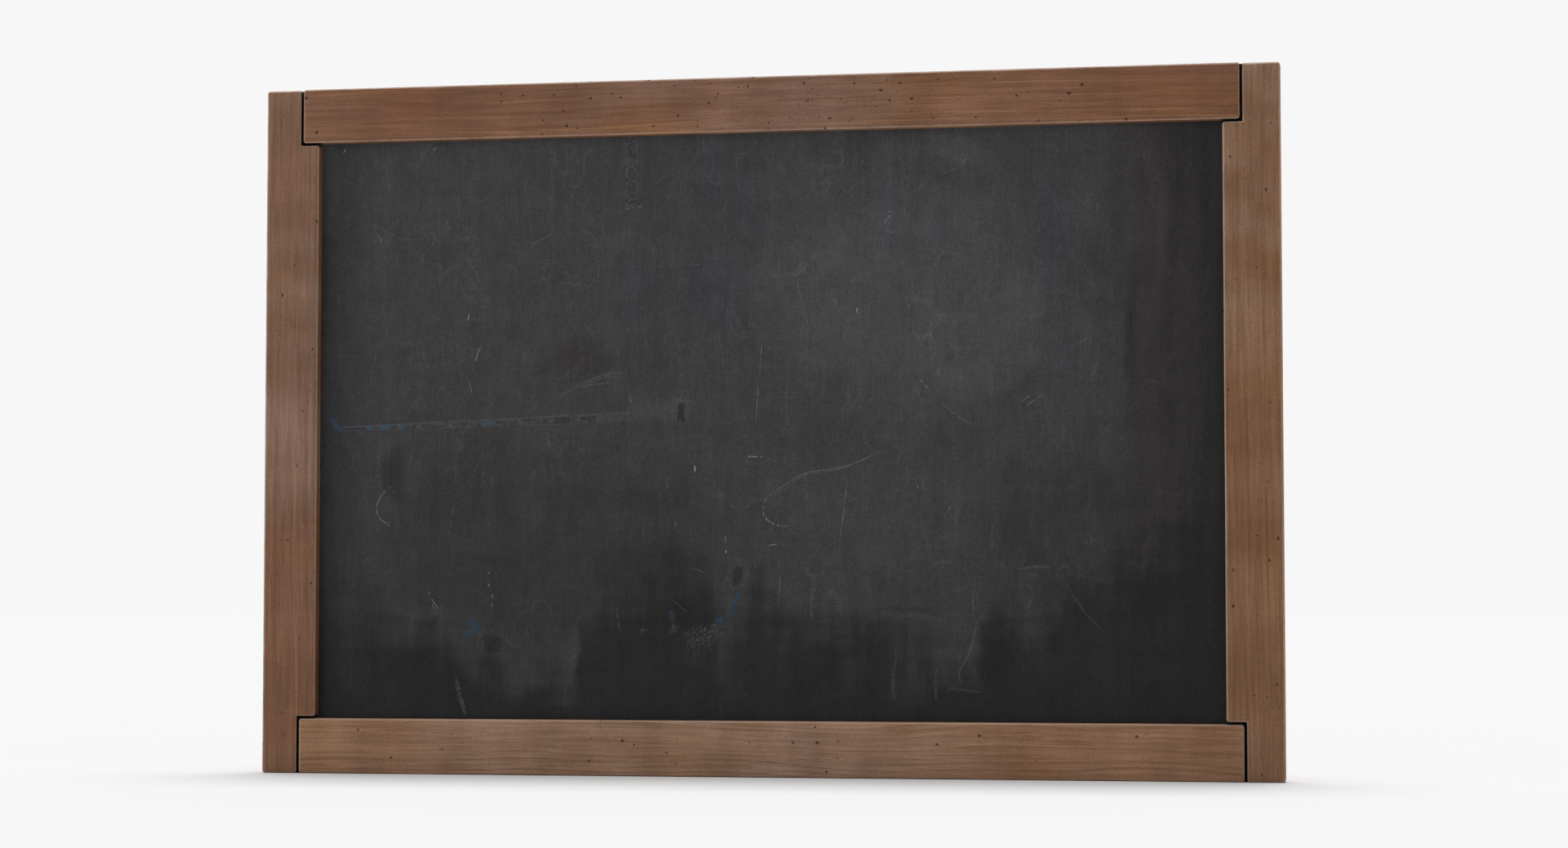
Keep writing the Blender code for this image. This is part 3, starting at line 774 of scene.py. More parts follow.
panelSizes = {
    "halfWidth": 0.4178,   # a hair of play in the rebate, so that no light comes through from behind
    "lowZ": 0.0318,
    "highZ": 0.5782,
    "faceY": 0.0003,
    "backY": 0.0043,
    "edge": 0.0004,        # chamfer round the front
    "step": 0.0033,        # spacing of the dust values over the face
    "fineStep": 0.0013,    # and past the small flaked spots
    "fineX": ((-0.268, -0.232), (-0.082, -0.008)),
    "fineZ": ((0.098, 0.192),),
    "crown": 0.00003,      # height of a chalk line
    "layer": 0.000004,     # step in height from band to band, and from line to line in turns of ten
}
# soft patches of dust: x, z, half width, half height in mm, lean in degrees, gain, share that is even
dustPatches = [
    (128, 415, 135, 112, 0, 0.118, 0.60), (130, 435, 240, 175, 0, 0.026, 0.2),
    (182, 536, 34, 24, 0, 0.055, 0.3), (12, 400, 30, 150, 0, 0.022, 0.3),
    (-148, 440, 22, 60, 0, 0.026, 0.3), (-168, 361, 38, 24, 0, -0.095, 0.3),
    (-105, 368, 34, 22, 0, -0.030, 0.3), (95, 550, 75, 12, 0, -0.045, 0.4),
    (-200, 198, 184, 108, 0, -0.112, 0.60), (-92, 172, 66, 42, 0, -0.090, 0.4),
    (-214, 226, 20, 30, 0, 0.040, 0.3), (-329, 262, 13, 26, -8, -0.180, 0.3),
    (272, 218, 84, 72, 0, -0.098, 0.5), (95, 225, 100, 60, 0, 0.012, 0.5),
    (255, 440, 22, 60, 0, -0.020, 0.4), (322, 392, 6, 62, -3, -0.095, 0.4),
    (342, 470, 6, 84, 2, 0.078, 0.4), (347, 405, 5, 50, 0, 0.055, 0.3), (386, 510, 26, 66, 0, 0.104, 0.4),
    (300, 470, 8, 60, 2, 0.028, 0.4), (356, 520, 10, 30, 0, -0.018, 0.4), (-30, 118, 12, 60, 0, 0.008, 0.4),
    (-392, 528, 14, 56, 0, 0.160, 0.4), (166, 548, 30, 15, 0, 0.120, 0.3), (28, 520, 62, 22, 0, 0.050, 0.3),
    (-118, 430, 5, 100, 0, 0.030, 0.4), (8, 470, 6, 70, 0, 0.035, 0.3), (150, 470, 9, 34, 0, 0.030, 0.3),
    (66, 452, 3, 26, 0, 0.050, 0.3), (196, 470, 5, 50, 0, 0.026, 0.3), (232, 408, 24, 14, -30, 0.034, 0.3),
    (160, 345, 40, 9, -38, 0.040, 0.3), (-60, 300, 70, 5, 2, -0.030, 0.4), (252, 256, 54, 5, 0, 0.072, 0.4),
    (-300, 545, 10, 22, -8, 0.030, 0.3), (-262, 524, 8, 20, -20, 0.040, 0.3),
    (-350, 440, 5, 80, 0, 0.020, 0.3), (195, 335, 24, 28, 0, 0.060, 0.3), (215, 500, 22, 40, 0, 0.030, 0.3),
    (226, 346, 18, 30, -35, 0.048, 0.3), (240, 362, 12, 44, -30, 0.036, 0.3),
    (95, 336, 52, 22, 0, -0.036, 0.3), (142, 192, 24, 40, 0, 0.030, 0.3),
    (-155, 266, 92, 17, 0, 0.040, 0.3), (-202, 214, 14, 24, 0, 0.040, 0.3),
    (-152, 184, 26, 36, 0, -0.034, 0.3), (6, 246, 10, 18, 0, 0.046, 0.3),
    (386, 402, 12, 70, 0, -0.050, 0.4), (331, 520, 5, 44, 0, -0.045, 0.4),
    (356, 400, 6, 60, -3, -0.022, 0.4), (368, 440, 4, 40, 6, 0.050, 0.4), (376, 312, 5, 36, 0, 0.085, 0.4),
    (312, 188, 18, 34, 0, -0.040, 0.3), (-140, 459, 24, 8, 0, 0.030, 0.3),
    (146, 536, 26, 18, 0, 0.042, 0.3), (-238, 536, 16, 16, -30, 0.036, 0.3),
    (-380, 226, 22, 60, 0, -0.046, 0.3), (-108, 498, 5, 60, 0, 0.030, 0.4),
]
# lower edge of the dust: x, height of the edge and how far it fades, in mm
dustEdge = np.array([
    (-400, 138, 136), (-372, 136, 124), (-356, 140, 84), (-340, 132, 56), (-318, 118, 50), (-300, 124, 48),
    (-284, 122, 50), (-266, 106, 60), (-236, 92, 56), (-208, 79, 46), (-172, 77, 44), (-160, 81, 42),
    (-154, 130, 50), (-143, 138, 56), (-118, 138, 66), (-100, 156, 66), (-88, 166, 70), (-60, 166, 72),
    (-42, 148, 72), (-30, 130, 88), (-14, 138, 80), (0, 156, 72), (30, 130, 66), (60, 129, 62),
    (90, 124, 54), (120, 108, 64), (150, 96, 60), (186, 92, 58), (192, 128, 60), (212, 142, 66),
    (240, 134, 70), (268, 168, 66), (300, 168, 84), (330, 188, 100), (360, 205, 116), (400, 220, 130),
], float)
# smears along that edge, as the patches above but laid over the bare paint
lowSmears = [
    (-372, 94, 15, 32, 0, 0.050, 0.2), (-300, 113, 20, 5, 24, 0.060, 0.2),
    (-240, 103, 10, 26, 6, -0.150, 0.3), (-164, 76, 9, 7, 0, 0.040, 0.1), (-220, 72, 15, 8, 0, 0.050, 0.1),
    (-194, 80, 9, 8, 0, 0.045, 0.1), (-50, 142, 20, 20, 0, -0.085, 0.3), (-26, 96, 14, 36, 0, 0.066, 0.2),
    (48, 124, 18, 16, 0, 0.055, 0.2), (79, 91, 15, 15, 20, 0.065, 0.2), (134, 83, 10, 23, 12, 0.110, 0.2),
    (160, 122, 26, 14, 0, -0.045, 0.3), (105, 118, 17, 15, 0, -0.060, 0.3),
    (58, 102, 14, 14, 0, -0.040, 0.3), (203, 118, 11, 42, 0, -0.100, 0.5),
    (123, 141, 40, 3, 0, -0.080, 0.3), (123, 134, 36, 3, 0, 0.045, 0.3), (-318, 94, 20, 16, 0, -0.060, 0.3),
    (-300, 80, 56, 26, 0, -0.040, 0.5), (334, 194, 4.5, 30, 0, 0.095, 0.3),
    (298, 96, 14, 18, 0, 0.035, 0.2), (252, 94, 20, 11, 0, 0.035, 0.2), (209, 204, 3.5, 24, 0, -0.060, 0.4),
    (221, 210, 3, 20, 0, -0.050, 0.4), (-130, 92, 12, 26, 0, 0.020, 0.2), (-310, 70, 16, 10, 0, 0.018, 0.2),
    (-262, 60, 6, 22, 14, 0.034, 0.3), (20, 78, 10, 26, 0, 0.022, 0.2), (-160, 108, 5, 34, 0, 0.080, 0.2),
    (-223, 76, 32, 7, 0, 0.060, 0.2), (-308, 137, 15, 9, 22, 0.062, 0.2), (122, 76, 16, 12, 0, 0.085, 0.2),
    (167, 79, 20, 9, 0, 0.085, 0.2), (-29, 86, 9, 24, 0, 0.034, 0.2), (138, 121, 46, 13, 0, -0.046, 0.2),
    (-336, 98, 26, 22, 0, -0.032, 0.2), (189, 104, 5, 30, 0, -0.048, 0.3),
    (302, 154, 18, 12, 0, 0.046, 0.3), (247, 124, 14, 14, 0, -0.036, 0.3),
    (-262, 96, 7, 26, 24, 0.030, 0.2), (119, 178, 6, 13, 0, 0.030, 0.2), (241, 138, 6, 14, -20, 0.030, 0.2),
    (340, 130, 24, 30, 0, 0.010, 0.2), (-345, 150, 5, 50, 0, 0.030, 0.3), (-205, 140, 5, 44, 0, 0.030, 0.3),
]
# how much of the dust is left towards the stiles: x in mm and share; from -392 to -404 mm the share rises
# again, painted light that lightens the left lip's shadow
dustSides = np.array([
    (-404, 0.80), (-398, 0.68), (-392, 0.61), (-380, 0.76), (-364, 0.93), (-345, 1.0), (285, 1.0),
    (303, 0.94), (328, 0.78), (360, 0.61), (388, 0.34), (404, 0.28),
])


def turnedOff(x, z, place):
    # distance from the middle of a leaning ellipse (its middle, half sizes and lean), 1 on its outline
    cx, cz, rx, rz, lean = place
    a = math.radians(lean)
    u = ((x - cx) * math.cos(a) + (z - cz) * math.sin(a)) / rx
    v = ((z - cz) * math.cos(a) - (x - cx) * math.sin(a)) / rz
    return np.hypot(u, v)


def patchAt(x, z, place, even, edge):
    # 1 in the ellipse's middle, even up to one share of its size and gone at the other
    return 1 - smoothStep(turnedOff(x, z, place), even, edge)


def flatNoise(x, z):
    flat = np.stack([x, np.zeros_like(x), z], -1)
    return lambda cell, seed: latticeNoise(flat, cell, seed)


def dustTone(x, z):
    # how light the paint looks, from 0 to 1: an even grey plus soft patches, times the share left towards
    # the stiles, times a fade below the ragged lower edge, all warped by slow noise; wiping has streaked it
    # upright and, less, sideways, more in some places than in others
    noise = flatNoise(x, z)
    warpX = x + 7 * noise(55, 3) + 4 * noise(16, 4) + 1.5 * noise(6, 24)
    warpZ = z + 8 * noise(60, 5) + 5 * noise(18, 6) + 2.5 * noise(7, 25)
    tone = 0.458 + 0.016 * noise((70, 70, 110), 7) + 0.016 * noise((22, 22, 50), 8)
    for *place, gain, even in dustPatches:
        tone = tone + gain * patchAt(warpX, warpZ, place, even, 1.15)
    fingers = noise((7, 7, 80), 12) + 0.6 * noise((3.6, 3.6, 50), 13)
    rubs = noise((60, 60, 9), 18) + 0.6 * noise((34, 34, 4.5), 19)
    wiped = 1 + 0.7 * noise(80, 31)
    tone = tone + wiped * (0.017 * fingers + 0.011 * rubs)
    tone = tone + 0.028 * noise((13, 13, 17), 26) + 0.019 * noise(5, 27)
    sides = np.interp(x + 5 * noise((40, 40, 90), 14) + 2 * fingers, *dustSides.T)
    streak = noise((11, 11, 130), 15) + 0.6 * fingers
    tone = tone * (sides + 0.10 * streak * smoothStep(x, 290, 330))
    edgeX, edgeZ, edgeWide = dustEdge.T
    middle, wide = np.interp(warpX, edgeX, edgeZ), np.interp(warpX, edgeX, edgeWide)
    left = smoothStep(warpZ + 6 * fingers + 6 * rubs, middle - wide / 2, middle + wide / 2)
    swirl = noise((26, 26, 18), 17) + 0.6 * noise((11, 11, 8), 28)
    tone = tone * (0.31 + 0.69 * left) + 0.120 * swirl * left * (1 - left)
    for *place, gain, even in lowSmears:
        tone = tone + gain * patchAt(warpX, warpZ, place, even, 1.2)
    tone = tone + (1 - left) * (0.024 * swirl + 0.016 * fingers + 0.010 * rubs)
    tone = np.maximum(tone, 0.088 + 0.016 * swirl + 0.010 * fingers)
    # painted shade: the tone falls to nothing from 405 to 409 mm out, so the paint is near black where the
    # panel shows through the joints' slots
    return tone * (1 - smoothStep(np.abs(x), 405, 409))      # bare and dark inside the joints' slots


# flaked spots: x, z, half width, half height in mm, lean, amount, and whether the middle is chipped bare
flakedSpots = [
    (-50, 123, 27, 15, 20, 0.56, False), (-60, 108, 13, 20, -12, 0.34, False),
    (-21, 175, 8, 13, -8, 0.44, True), (-240, 114, 15, 11, -28, 0.36, True),
    (-77, 128, 7, 8, 0, 0.60, False), (-292, 144, 9, 8, -40, 0.60, False),
    (112, 484, 9, 9, 10, 0.30, False), (-105, 126, 6, 5, 0, 0.50, False), (-30, 152, 9, 12, 0, 0.18, False),
]
# tinted places: x, z, half width, half height in mm, lean
violetPlaces = [(-45, 525, 12, 36, 0), (-16, 505, 9, 42, 0), (-40, 425, 34, 40, 0), (255, 470, 16, 60, 0)]
olivePlace = (-163, 429, 40, 45, 0)
reddishPlace = (-170, 366, 27, 19, 0)
brownFrom, brownFull = 285, 345      # x in mm, towards the right stile


def paintValues(x, z):
    # tone, how violet, olive or brown each place is, and where flakes of dust or bare chips lie
    noise = flatNoise(x, z)
    violet = smoothStep(noise((22, 22, 60), 21), 0.1, 0.9) * 0.35
    for place in violetPlaces:
        violet = np.maximum(violet, patchAt(x, z, place, 0.2, 1.2))
    olive = smoothStep(noise((50, 50, 60), 22), 0.2, 0.9) * 0.3
    olive = np.maximum(olive, 0.6 * patchAt(x, z, olivePlace, 0.2, 1.1))
    strip = smoothStep(x, brownFrom, brownFull)
    reddish = 1.5 * patchAt(x, z, reddishPlace, 0.2, 1.1)
    flake, bare = np.zeros_like(x), np.zeros_like(x)
    for index, (*place, amount, chipped) in enumerate(flakedSpots):
        off = turnedOff(x, z, place) + 0.22 * noise(5, 90 + index)
        here = 1 - smoothStep(off, 0.35, 1.1)
        if chipped:
            here = 1 - smoothStep(np.abs(off - 0.9), 0.10, 0.55)
            bare = np.maximum(bare, 1 - smoothStep(off, 0.30, 1.05))
        flake = np.maximum(flake, amount * here)
    return {"tone": dustTone(x, z) * (1 - 0.16 * bare), "violet": violet * (1 - strip),
            "olive": olive * (1 - strip), "brown": np.maximum(strip, reddish), "flake": flake, "bare": bare}


chalkColours = {
    "white": (0.40, 0.40, 0.405),
    "cream": (0.40, 0.39, 0.345),
    "violet": (0.135, 0.120, 0.190),
    "blue": (0.029, 0.060, 0.098),
    "red": (0.20, 0.055, 0.055),
    "dots": (0.38, 0.38, 0.385),
    "paleBlue": (0.054, 0.086, 0.118),
    "film": (0.112, 0.112, 0.118),
    "bare": (0.012, 0.012, 0.012),
}
stuckOn = ("blue", "paleBlue")      # these are stuck to the board, not drawn
# chalk lines: colour, width in mm, strength, and the points they pass through in mm
chalkLines = [
    ("white", 1.1, 0.75, [(-379.1, 556.9), (-381.5, 553.3)]),
    ("white", 1, 0.6, [(-294.6, 556.6), (-298.3, 553.5)]),
    ("white", 0.8, 0.4, [(-350.4, 480), (-347.1, 476.7), (-345.6, 468.9)]),
    ("white", 1.2, 0.75, [(-264.5, 407.1), (-264.9, 400.3)]),
    ("white", 1, 0.65, [(-253.1, 377.9), (-256.3, 370.7), (-258.6, 361.2)]),
    ("white", 1, 0.35, [(-265.6, 349.9), (-263.2, 343.5), (-260.8, 335.3)]),
    ("white", 1, 0.6, [(-117.4, 334.6), (-116.9, 330.5), (-116.4, 326.4)]),
    ("white", 1.3, 0.80, [(84.4, 407.3), (84.8, 400.6)]),
    ("white", 1.8, 0.9, [(-59.1, 270.4), (-58.6, 265)]),
    ("white", 1, 0.5, [(-31.2, 209.6), (-31.2, 201.6)]),
    ("white", 1.6, 0.85, [(-31.2, 196.3), (-30.8, 193.6)]),
    ("white", 1.4, 0.5, [(137.3, 251.7), (138.2, 249.1)]),
    ("white", 2.4, 0.45, [(-76.3, 222.3), (-75.4, 216.9)]),
    ("white", 1.4, 0.4, [(-195, 430.5), (-193.1, 429.6)]),
    ("white", 3.2, 0.10, [(-171.9, 338.8), (-158, 342.7), (-144.1, 347.5), (-130.3, 350)]),
    ("white", 2.8, 0.11, [(-162.6, 339.6), (-148.8, 342.6), (-135.8, 344.2)]),
    ("white", 4.0, 0.08, [(-181.1, 332.2), (-162.6, 342.3), (-137.2, 351.9), (-121.1, 352.6)]),
    ("dots", 1.4, 0.60, [(-18.1, 277.7), (-5.9, 278), (6.8, 277.5)]),
    ("dots", 1.2, 0.14, [(-102.9, 444.6), (-70.8, 446.3), (-39.7, 447.1)]),
    ("violet", 1.1, 0.55, [(-28.5, 239.9), (-25.8, 235.4), (-19.5, 231.8), (-12.2, 234.4),
      (-7.7, 238), (4.1, 241.5)]),
    ("violet", 0.9, 0.4, [(-28.5, 239.9), (-17.6, 241.6), (-8.6, 242.4), (4.1, 241.5)]),
    ("white", 1.3, 0.25, [(109.3, 282.4), (101.2, 280.7), (92.3, 275.5), (76.6, 269.4), (58.6, 266),
      (42, 263.9), (30.3, 259.1), (18.5, 251.2), (4.5, 241.5)]),
    ("white", 1.1, 0.15, [(109.3, 281.5), (99.4, 278.1), (88.7, 273.7), (74.3, 267.6), (56.4, 264.2),
      (41.1, 262.1), (31.2, 257.3), (20.4, 249.4), (6.8, 240.6)]),
    ("cream", 1.3, 0.62, [(5.4, 242.4), (1.8, 235.3), (2.3, 227.7), (6.4, 221.9), (13.6, 218.3),
      (21.3, 216.5)]),
    ("white", 0.8, 0.35, [(13.6, 225.4), (10.9, 216.6)]),
    ("white", 0.8, 0.28, [(13.6, 223.2), (22.6, 216.5), (28.5, 211.2)]),
    ("cream", 1.3, 0.40, [(-333.7, 254.3), (-343.1, 247.1), (-347.8, 237.1), (-346.8, 228),
      (-341.5, 222.6), (-333.9, 218)]),
    ("white", 0.8, 0.2, [(-335.1, 247.5), (-330.4, 250.6)]),
    ("white", 0.8, 0.25, [(-334.9, 222.5), (-340.5, 218)]),
    ("white", 1, 0.45, [(6.4, 200.6), (14.9, 201.9)]),
    ("white", 1, 0.26, [(1.3, 385.9), (-0, 363.6), (-2.7, 336.8), (-5, 305.6)]),
    ("white", 0.8, 0.3, [(-3.2, 355.6), (6.3, 355.9)]),
    ("white", 0.8, 0.22, [(-5.9, 332.4), (0.4, 333.2)]),
    ("white", 1, 0.34, [(76.1, 257.9), (73.4, 234), (70.7, 211.9), (68.9, 194.2)]),
    ("white", 0.9, 0.18, [(-275.8, 242.6), (-279.4, 222.3), (-282.1, 203.3)]),
    ("white", 0.9, 0.18, [(-348.3, 379.7), (-352.9, 354.6), (-356.5, 327.3)]),
    ("white", 0.9, 0.14, [(22.6, 323.2), (24.9, 287.5)]),
    ("dots", 1.5, 0.5, [(-244.1, 181.6), (-245.5, 170.3), (-241.7, 159.1), (-242.1, 144.7)]),
    ("white", 1.2, 0.4, [(-300.6, 161.3), (-295.9, 152.3), (-290.7, 145.5)]),
    ("white", 1, 0.3, [(-296.8, 150), (-294, 144.6)]),
    ("white", 5, 0.15, [(-274.4, 84.8), (-271.1, 69.1), (-264.9, 50.2)]),
    ("white", 1.6, 0.22, [(-272.5, 82.5), (-268.2, 64.6), (-264, 53.4)]),
    ("white", 1.4, 0.34, [(107.4, 486.6), (111.4, 489.2), (118.1, 489.5), (113.2, 484.7),
      (108.7, 479.9), (114.1, 477.5)]),
    ("white", 1.2, 0.28, [(109.6, 472.3), (113.2, 474.9), (116.3, 471.3), (119, 475.2)]),
    ("white", 1, 0.45, [(80, 492.5), (85.4, 489.3)]),
    ("white", 1, 0.4, [(56.5, 472.5), (61.9, 473.7)]),
    ("white", 0.9, 0.28, [(162.4, 523.6), (172.2, 526), (179.4, 532.1), (182.1, 539.1)]),
    ("white", 3.4, 0.085, [(148.2, 180.8), (158.9, 186.1), (170.4, 184.3)]),
    ("white", 3.4, 0.12, [(225, 179.8), (238.1, 181.6), (252.1, 181.1)]),
    ("white", 3.0, 0.10, [(259.1, 178.9), (263.5, 182.4), (269.6, 178.9), (267, 172.8)]),
    ("white", 2.8, 0.09, [(262.6, 171), (273, 154.5), (284.2, 139.3), (295.5, 128.4)]),
    ("white", 3.2, 0.07, [(226.7, 163.2), (233.7, 165.4), (237.2, 156.7), (230.1, 143.6)]),
    ("white", 2.0, 0.14, [(15.8, 186.4), (16.7, 167.8), (14.9, 145.7)]),
    ("white", 2.0, 0.13, [(45.1, 159.8), (43.7, 147.9), (46.4, 134.7)]),
    ("white", 3.4, 0.10, [(118.7, 103.6), (116, 86.4), (116.9, 65.9)]),
    ("white", 3.8, 0.10, [(154.1, 94.9), (152.5, 80), (153.6, 66.1)]),
    ("white", 3.2, 0.10, [(188, 172.9), (185.3, 154.5), (186.1, 139.2)]),
    ("white", 3.2, 0.11, [(188.7, 134.8), (183.4, 110.8), (173.6, 91.5), (175.3, 81)]),
    ("white", 3.6, 0.08, [(160.8, 74), (167.4, 76.6), (192.9, 74.1)]),
    ("white", 1, 0.4, [(227.3, 322.7), (232.6, 327), (237.9, 329.6)]),
    ("white", 1, 0.4, [(231.7, 319.5), (238.7, 324.3), (245.8, 329.5)]),
    ("white", 1, 0.34, [(138.8, 344), (142.4, 340.4), (147.7, 334.2)]),
    ("white", 0.9, 0.3, [(160.1, 321.7), (173.4, 310.9), (185.8, 303.8)]),
    ("white", 1.2, 0.4, [(127.4, 412.4), (130.9, 407)]),
    ("white", 1, 0.16, [(94.4, 172.1), (97.5, 156.7)]),
    ("white", 1, 0.2, [(-84.2, 261.6), (-83.2, 248.2)]),
    ("white", 1, 0.2, [(-63.5, 181.2), (-49.8, 176.8)]),
    ("white", 0.9, 0.2, [(-129.7, 150.1), (-125.1, 123.3)]),
    ("white", 0.8, 0.2, [(-84, 156.8), (-61.1, 139)]),
    ("red", 1.6, 0.8, [(-51.7, 558.5), (-51.2, 553.1)]),
    ("red", 1.2, 0.35, [(-51.7, 534.2), (-51.2, 525.1)]),
    ("red", 1.6, 0.6, [(-178.9, 476.4), (-176.6, 476.8)]),
    ("red", 1.8, 0.45, [(-209.6, 465.2), (-204, 467)]),
    ("white", 1, 0.2, [(-207.7, 467.9), (-195.6, 472.2), (-186.3, 478.4)]),
    ("blue", 5.4, 1.0, [(-390.6, 316.7), (-388.2, 311.2), (-383.8, 306.2), (-377.2, 305.6)]),
    ("paleBlue", 5.2, 0.95, [(-359.3, 306.4), (-352.5, 306.6)]),
    ("paleBlue", 5.6, 1.0, [(-347, 306.4), (-335.0, 307.2)]),
    ("paleBlue", 5.4, 1.0, [(-330, 307.4), (-323.0, 307.4)]),
    ("paleBlue", 5.8, 1.0, [(-252.4, 309.2), (-242.3, 310.0)]),
    ("blue", 5.0, 1.0, [(-267.8, 124.4), (-262.5, 123.4), (-257.5, 124.6)]),
    ("blue", 6.4, 1.0, [(-258.6, 123.6), (-257.2, 128.6), (-258.2, 134.0)]),
    ("blue", 3.6, 0.9, [(-264.4, 134.6), (-261.0, 135.0), (-258.0, 133.6)]),
    ("blue", 5.6, 0.60, [(-80.3, 144.7), (-79.4, 140.3), (-78, 135)]),
    ("blue", 5.8, 0.95, [(-40.2, 135), (-33, 136.3)]),
    ("blue", 5.0, 0.95, [(-19.8, 160.7), (-22.1, 153.6), (-25.3, 147.4), (-27.5, 140.3)]),
    ("violet", 1.4, 0.25, [(-240.4, 262.7), (-243.1, 257.3)]),
    ("red", 1.6, 0.2, [(-242.2, 257.3), (-240.3, 253.7)]),
]
# bands of tape residue: start and end in mm, width, colour (worn is film with bare board in its gaps),
# amount, share of gaps, and hatch from 0 to 1
residueBands = [
    ((-379, 305.4), (-285, 308.0), 4.0, "film", 0.50, 0.38, 0.5),
    ((-285, 308.0), (-190, 311.2), 6.2, "film", 0.50, 0.36, 0.5),
    ((-190, 310.9), (-148, 312.4), 8.6, "worn", 0.46, 0.58, 0.3),
    ((-148, 312.4), (-115, 313.6), 9.2, "film", 0.24, 0.00, -1),
    ((-380, 307.0), (-116, 317.5), 1.8, "film", 0.50, -0.10, -1),
    ((-378, 303.4), (-150, 308.6), 1.2, "film", 0.28, 0.25, -1),
    ((-115.5, 319.6), (-66.5, 319.4), 20.0, "film", 0.21, 0.06, -1),
    ((-115.5, 329.0), (-66.5, 328.8), 1.5, "film", 0.26, 0.40, -1),
    ((-71.5, 325.0), (-71.5, 309.5), 8.0, "bare", 0.80, 0.24, 0.0),
    ((-120.7, 561), (-120.5, 497), 1.6, "film", 0.60, 0.20, 0.0),
    ((-111.4, 561), (-111.6, 498), 1.6, "film", 0.40, 0.36, 0.0),
    ((-116, 561), (-116, 497), 8.6, "worn", 0.33, 0.48, 0.2),
    ((-121, 498.0), (-108, 500.0), 4.5, "film", 1.0, 0.22, 0.0),
]
markSizes = {
    "spacing": 0.7,        # of the points along a mark, in mm
    "broad": 2,            # a line this wide in mm was rubbed on with the flat of the chalk
    "waver": 0.28,         # how far a drawn line strays from its points, in mm
    "waverCell": 6,        # and over what distance
    "apart": 7.0,          # from one line's noise to the next line's
    "taper": 0.75,         # share of a line's width that is lost at its ends
    "endReach": 0.5,       # half widths from a mark's last row to its closing point
}


def throughPoints(points):
    # a smooth line through the points: cubic pieces whose slope at a point is half the step from the
    # point before to the point after
    points = np.asarray(points, float)
    padded = np.concatenate([[2 * points[0] - points[1]], points, [2 * points[-1] - points[-2]]])
    pieces = []
    for i in range(len(points) - 1):
        before, start, end, after = padded[i:i + 4]
        count = max(int(np.linalg.norm(end - start) / markSizes["spacing"]), 2)
        t = np.arange(count)[:, None] / count
        squared = (2 * before - 5 * start + 4 * end - after) * t ** 2
        cubed = (3 * start - before - 3 * end + after) * t ** 3
        pieces.append(0.5 * (2 * start + (end - before) * t + squared + cubed))
    return np.concatenate([*pieces, points[-1:]])


# a ribbon's section: offset across in half widths, and height above the paint in crowns
ribbonSection = np.array([(-1.0, 0), (-0.75, 0.55), (-0.4, 0.9), (0.0, 1.0), (0.4, 0.9), (0.75, 0.55),
                          (1.0, 0), (0.5, -0.8), (-0.5, -0.8)])


def ribbonSkin(path, width, layer, taper=True):
    # a low crowned band along a line on the panel, closed by a point at each end: its points and faces,
    # and how far along (0 to 1) and across (-1 to 1) each point is
    m = markSizes
    ahead = np.gradient(path, axis=0)
    ahead /= np.maximum(np.linalg.norm(ahead, axis=1), 1e-9)[:, None]
    square = np.stack([-ahead[:, 1], ahead[:, 0]], -1)
    offset, height = ribbonSection.T
    height = height * panelSizes["crown"] + (height > 0) * layer * panelSizes["layer"]
    rows, columns = len(path), len(offset)
    along = np.linspace(0, 1, rows)
    half = width / 2 * (1 - m["taper"] * np.abs(2 * along - 1) ** 5 if taper else np.ones(rows))
    place = path[:, None, :] + square[:, None, :] * (half[:, None] * offset)[..., None]
    reach = m["endReach"]
    ends = [path[0] - ahead[0] * half[0] * reach, path[-1] + ahead[-1] * half[-1] * reach]
    flat = np.concatenate([place.reshape(-1, 2), ends])
    rise = np.concatenate([np.tile(height, rows), [0, 0]])
    points = np.stack([flat[:, 0] / 1000, panelSizes["faceY"] - rise, flat[:, 1] / 1000], -1)
    spread = np.column_stack([np.repeat(along, columns), np.tile(offset, rows)])
    return (points, cappedGrid(rows, columns)), np.concatenate([spread, [(0, 0), (1, 0)]])


def takenAlong(path, colour, width, index):
    # where a line of chalk took: short skips here and there, and gaps over half of a dotted line
    along = np.arange(len(path)) * markSizes["spacing"]
    noise = flatNoise(along, np.full(len(path), float(index)))
    if colour == "dots":
        return smoothStep(noise(1.5, 145), -0.05, 0.3)
    taken = smoothStep(noise(1.8, 143) + 0.5 * noise(6, 144), -0.75, 0.15)
    # what is stuck on and broad rubbed lines hardly skip
    least = 0.85 if colour in stuckOn else 0.30 if width >= markSizes["broad"] else 0
    return least + (1 - least) * taken


def residueFilm(spots, colour, gaps, hatch, index):
    # the share of the film that is left at each point, and its colour there
    def noise(cell, seed):
        return latticeNoise(spots, cell, seed + index)

    left = noise((2.4, 50, 1.6), 30) + 0.5 * noise((4.5, 50, 4.5), 50)
    left = smoothStep(left, gaps - 0.75, gaps - 0.25)
    # upright dashes, light and dark by turns; a hatch under 0 leaves out every dark spot
    darker = smoothStep(noise((2.2, 50, 2.2), 70), 0.1, 0.5) * (colour != "bare")
    dashes = smoothStep(noise((2.3, 50, 5), 110), -0.15, 0.35)
    darker = np.clip(darker * (1 - hatch) + hatch * dashes, 0, 1) * (hatch >= 0)
    bare = np.array(chalkColours["bare"])
    film = (bare if colour == "bare" else np.array(chalkColours["film"])) * (1 - 0.86 * darker[:, None])
    if colour == "worn":
        film = film * left[:, None] + bare * (1 - left[:, None])
        left = np.ones_like(left)
    return left, film


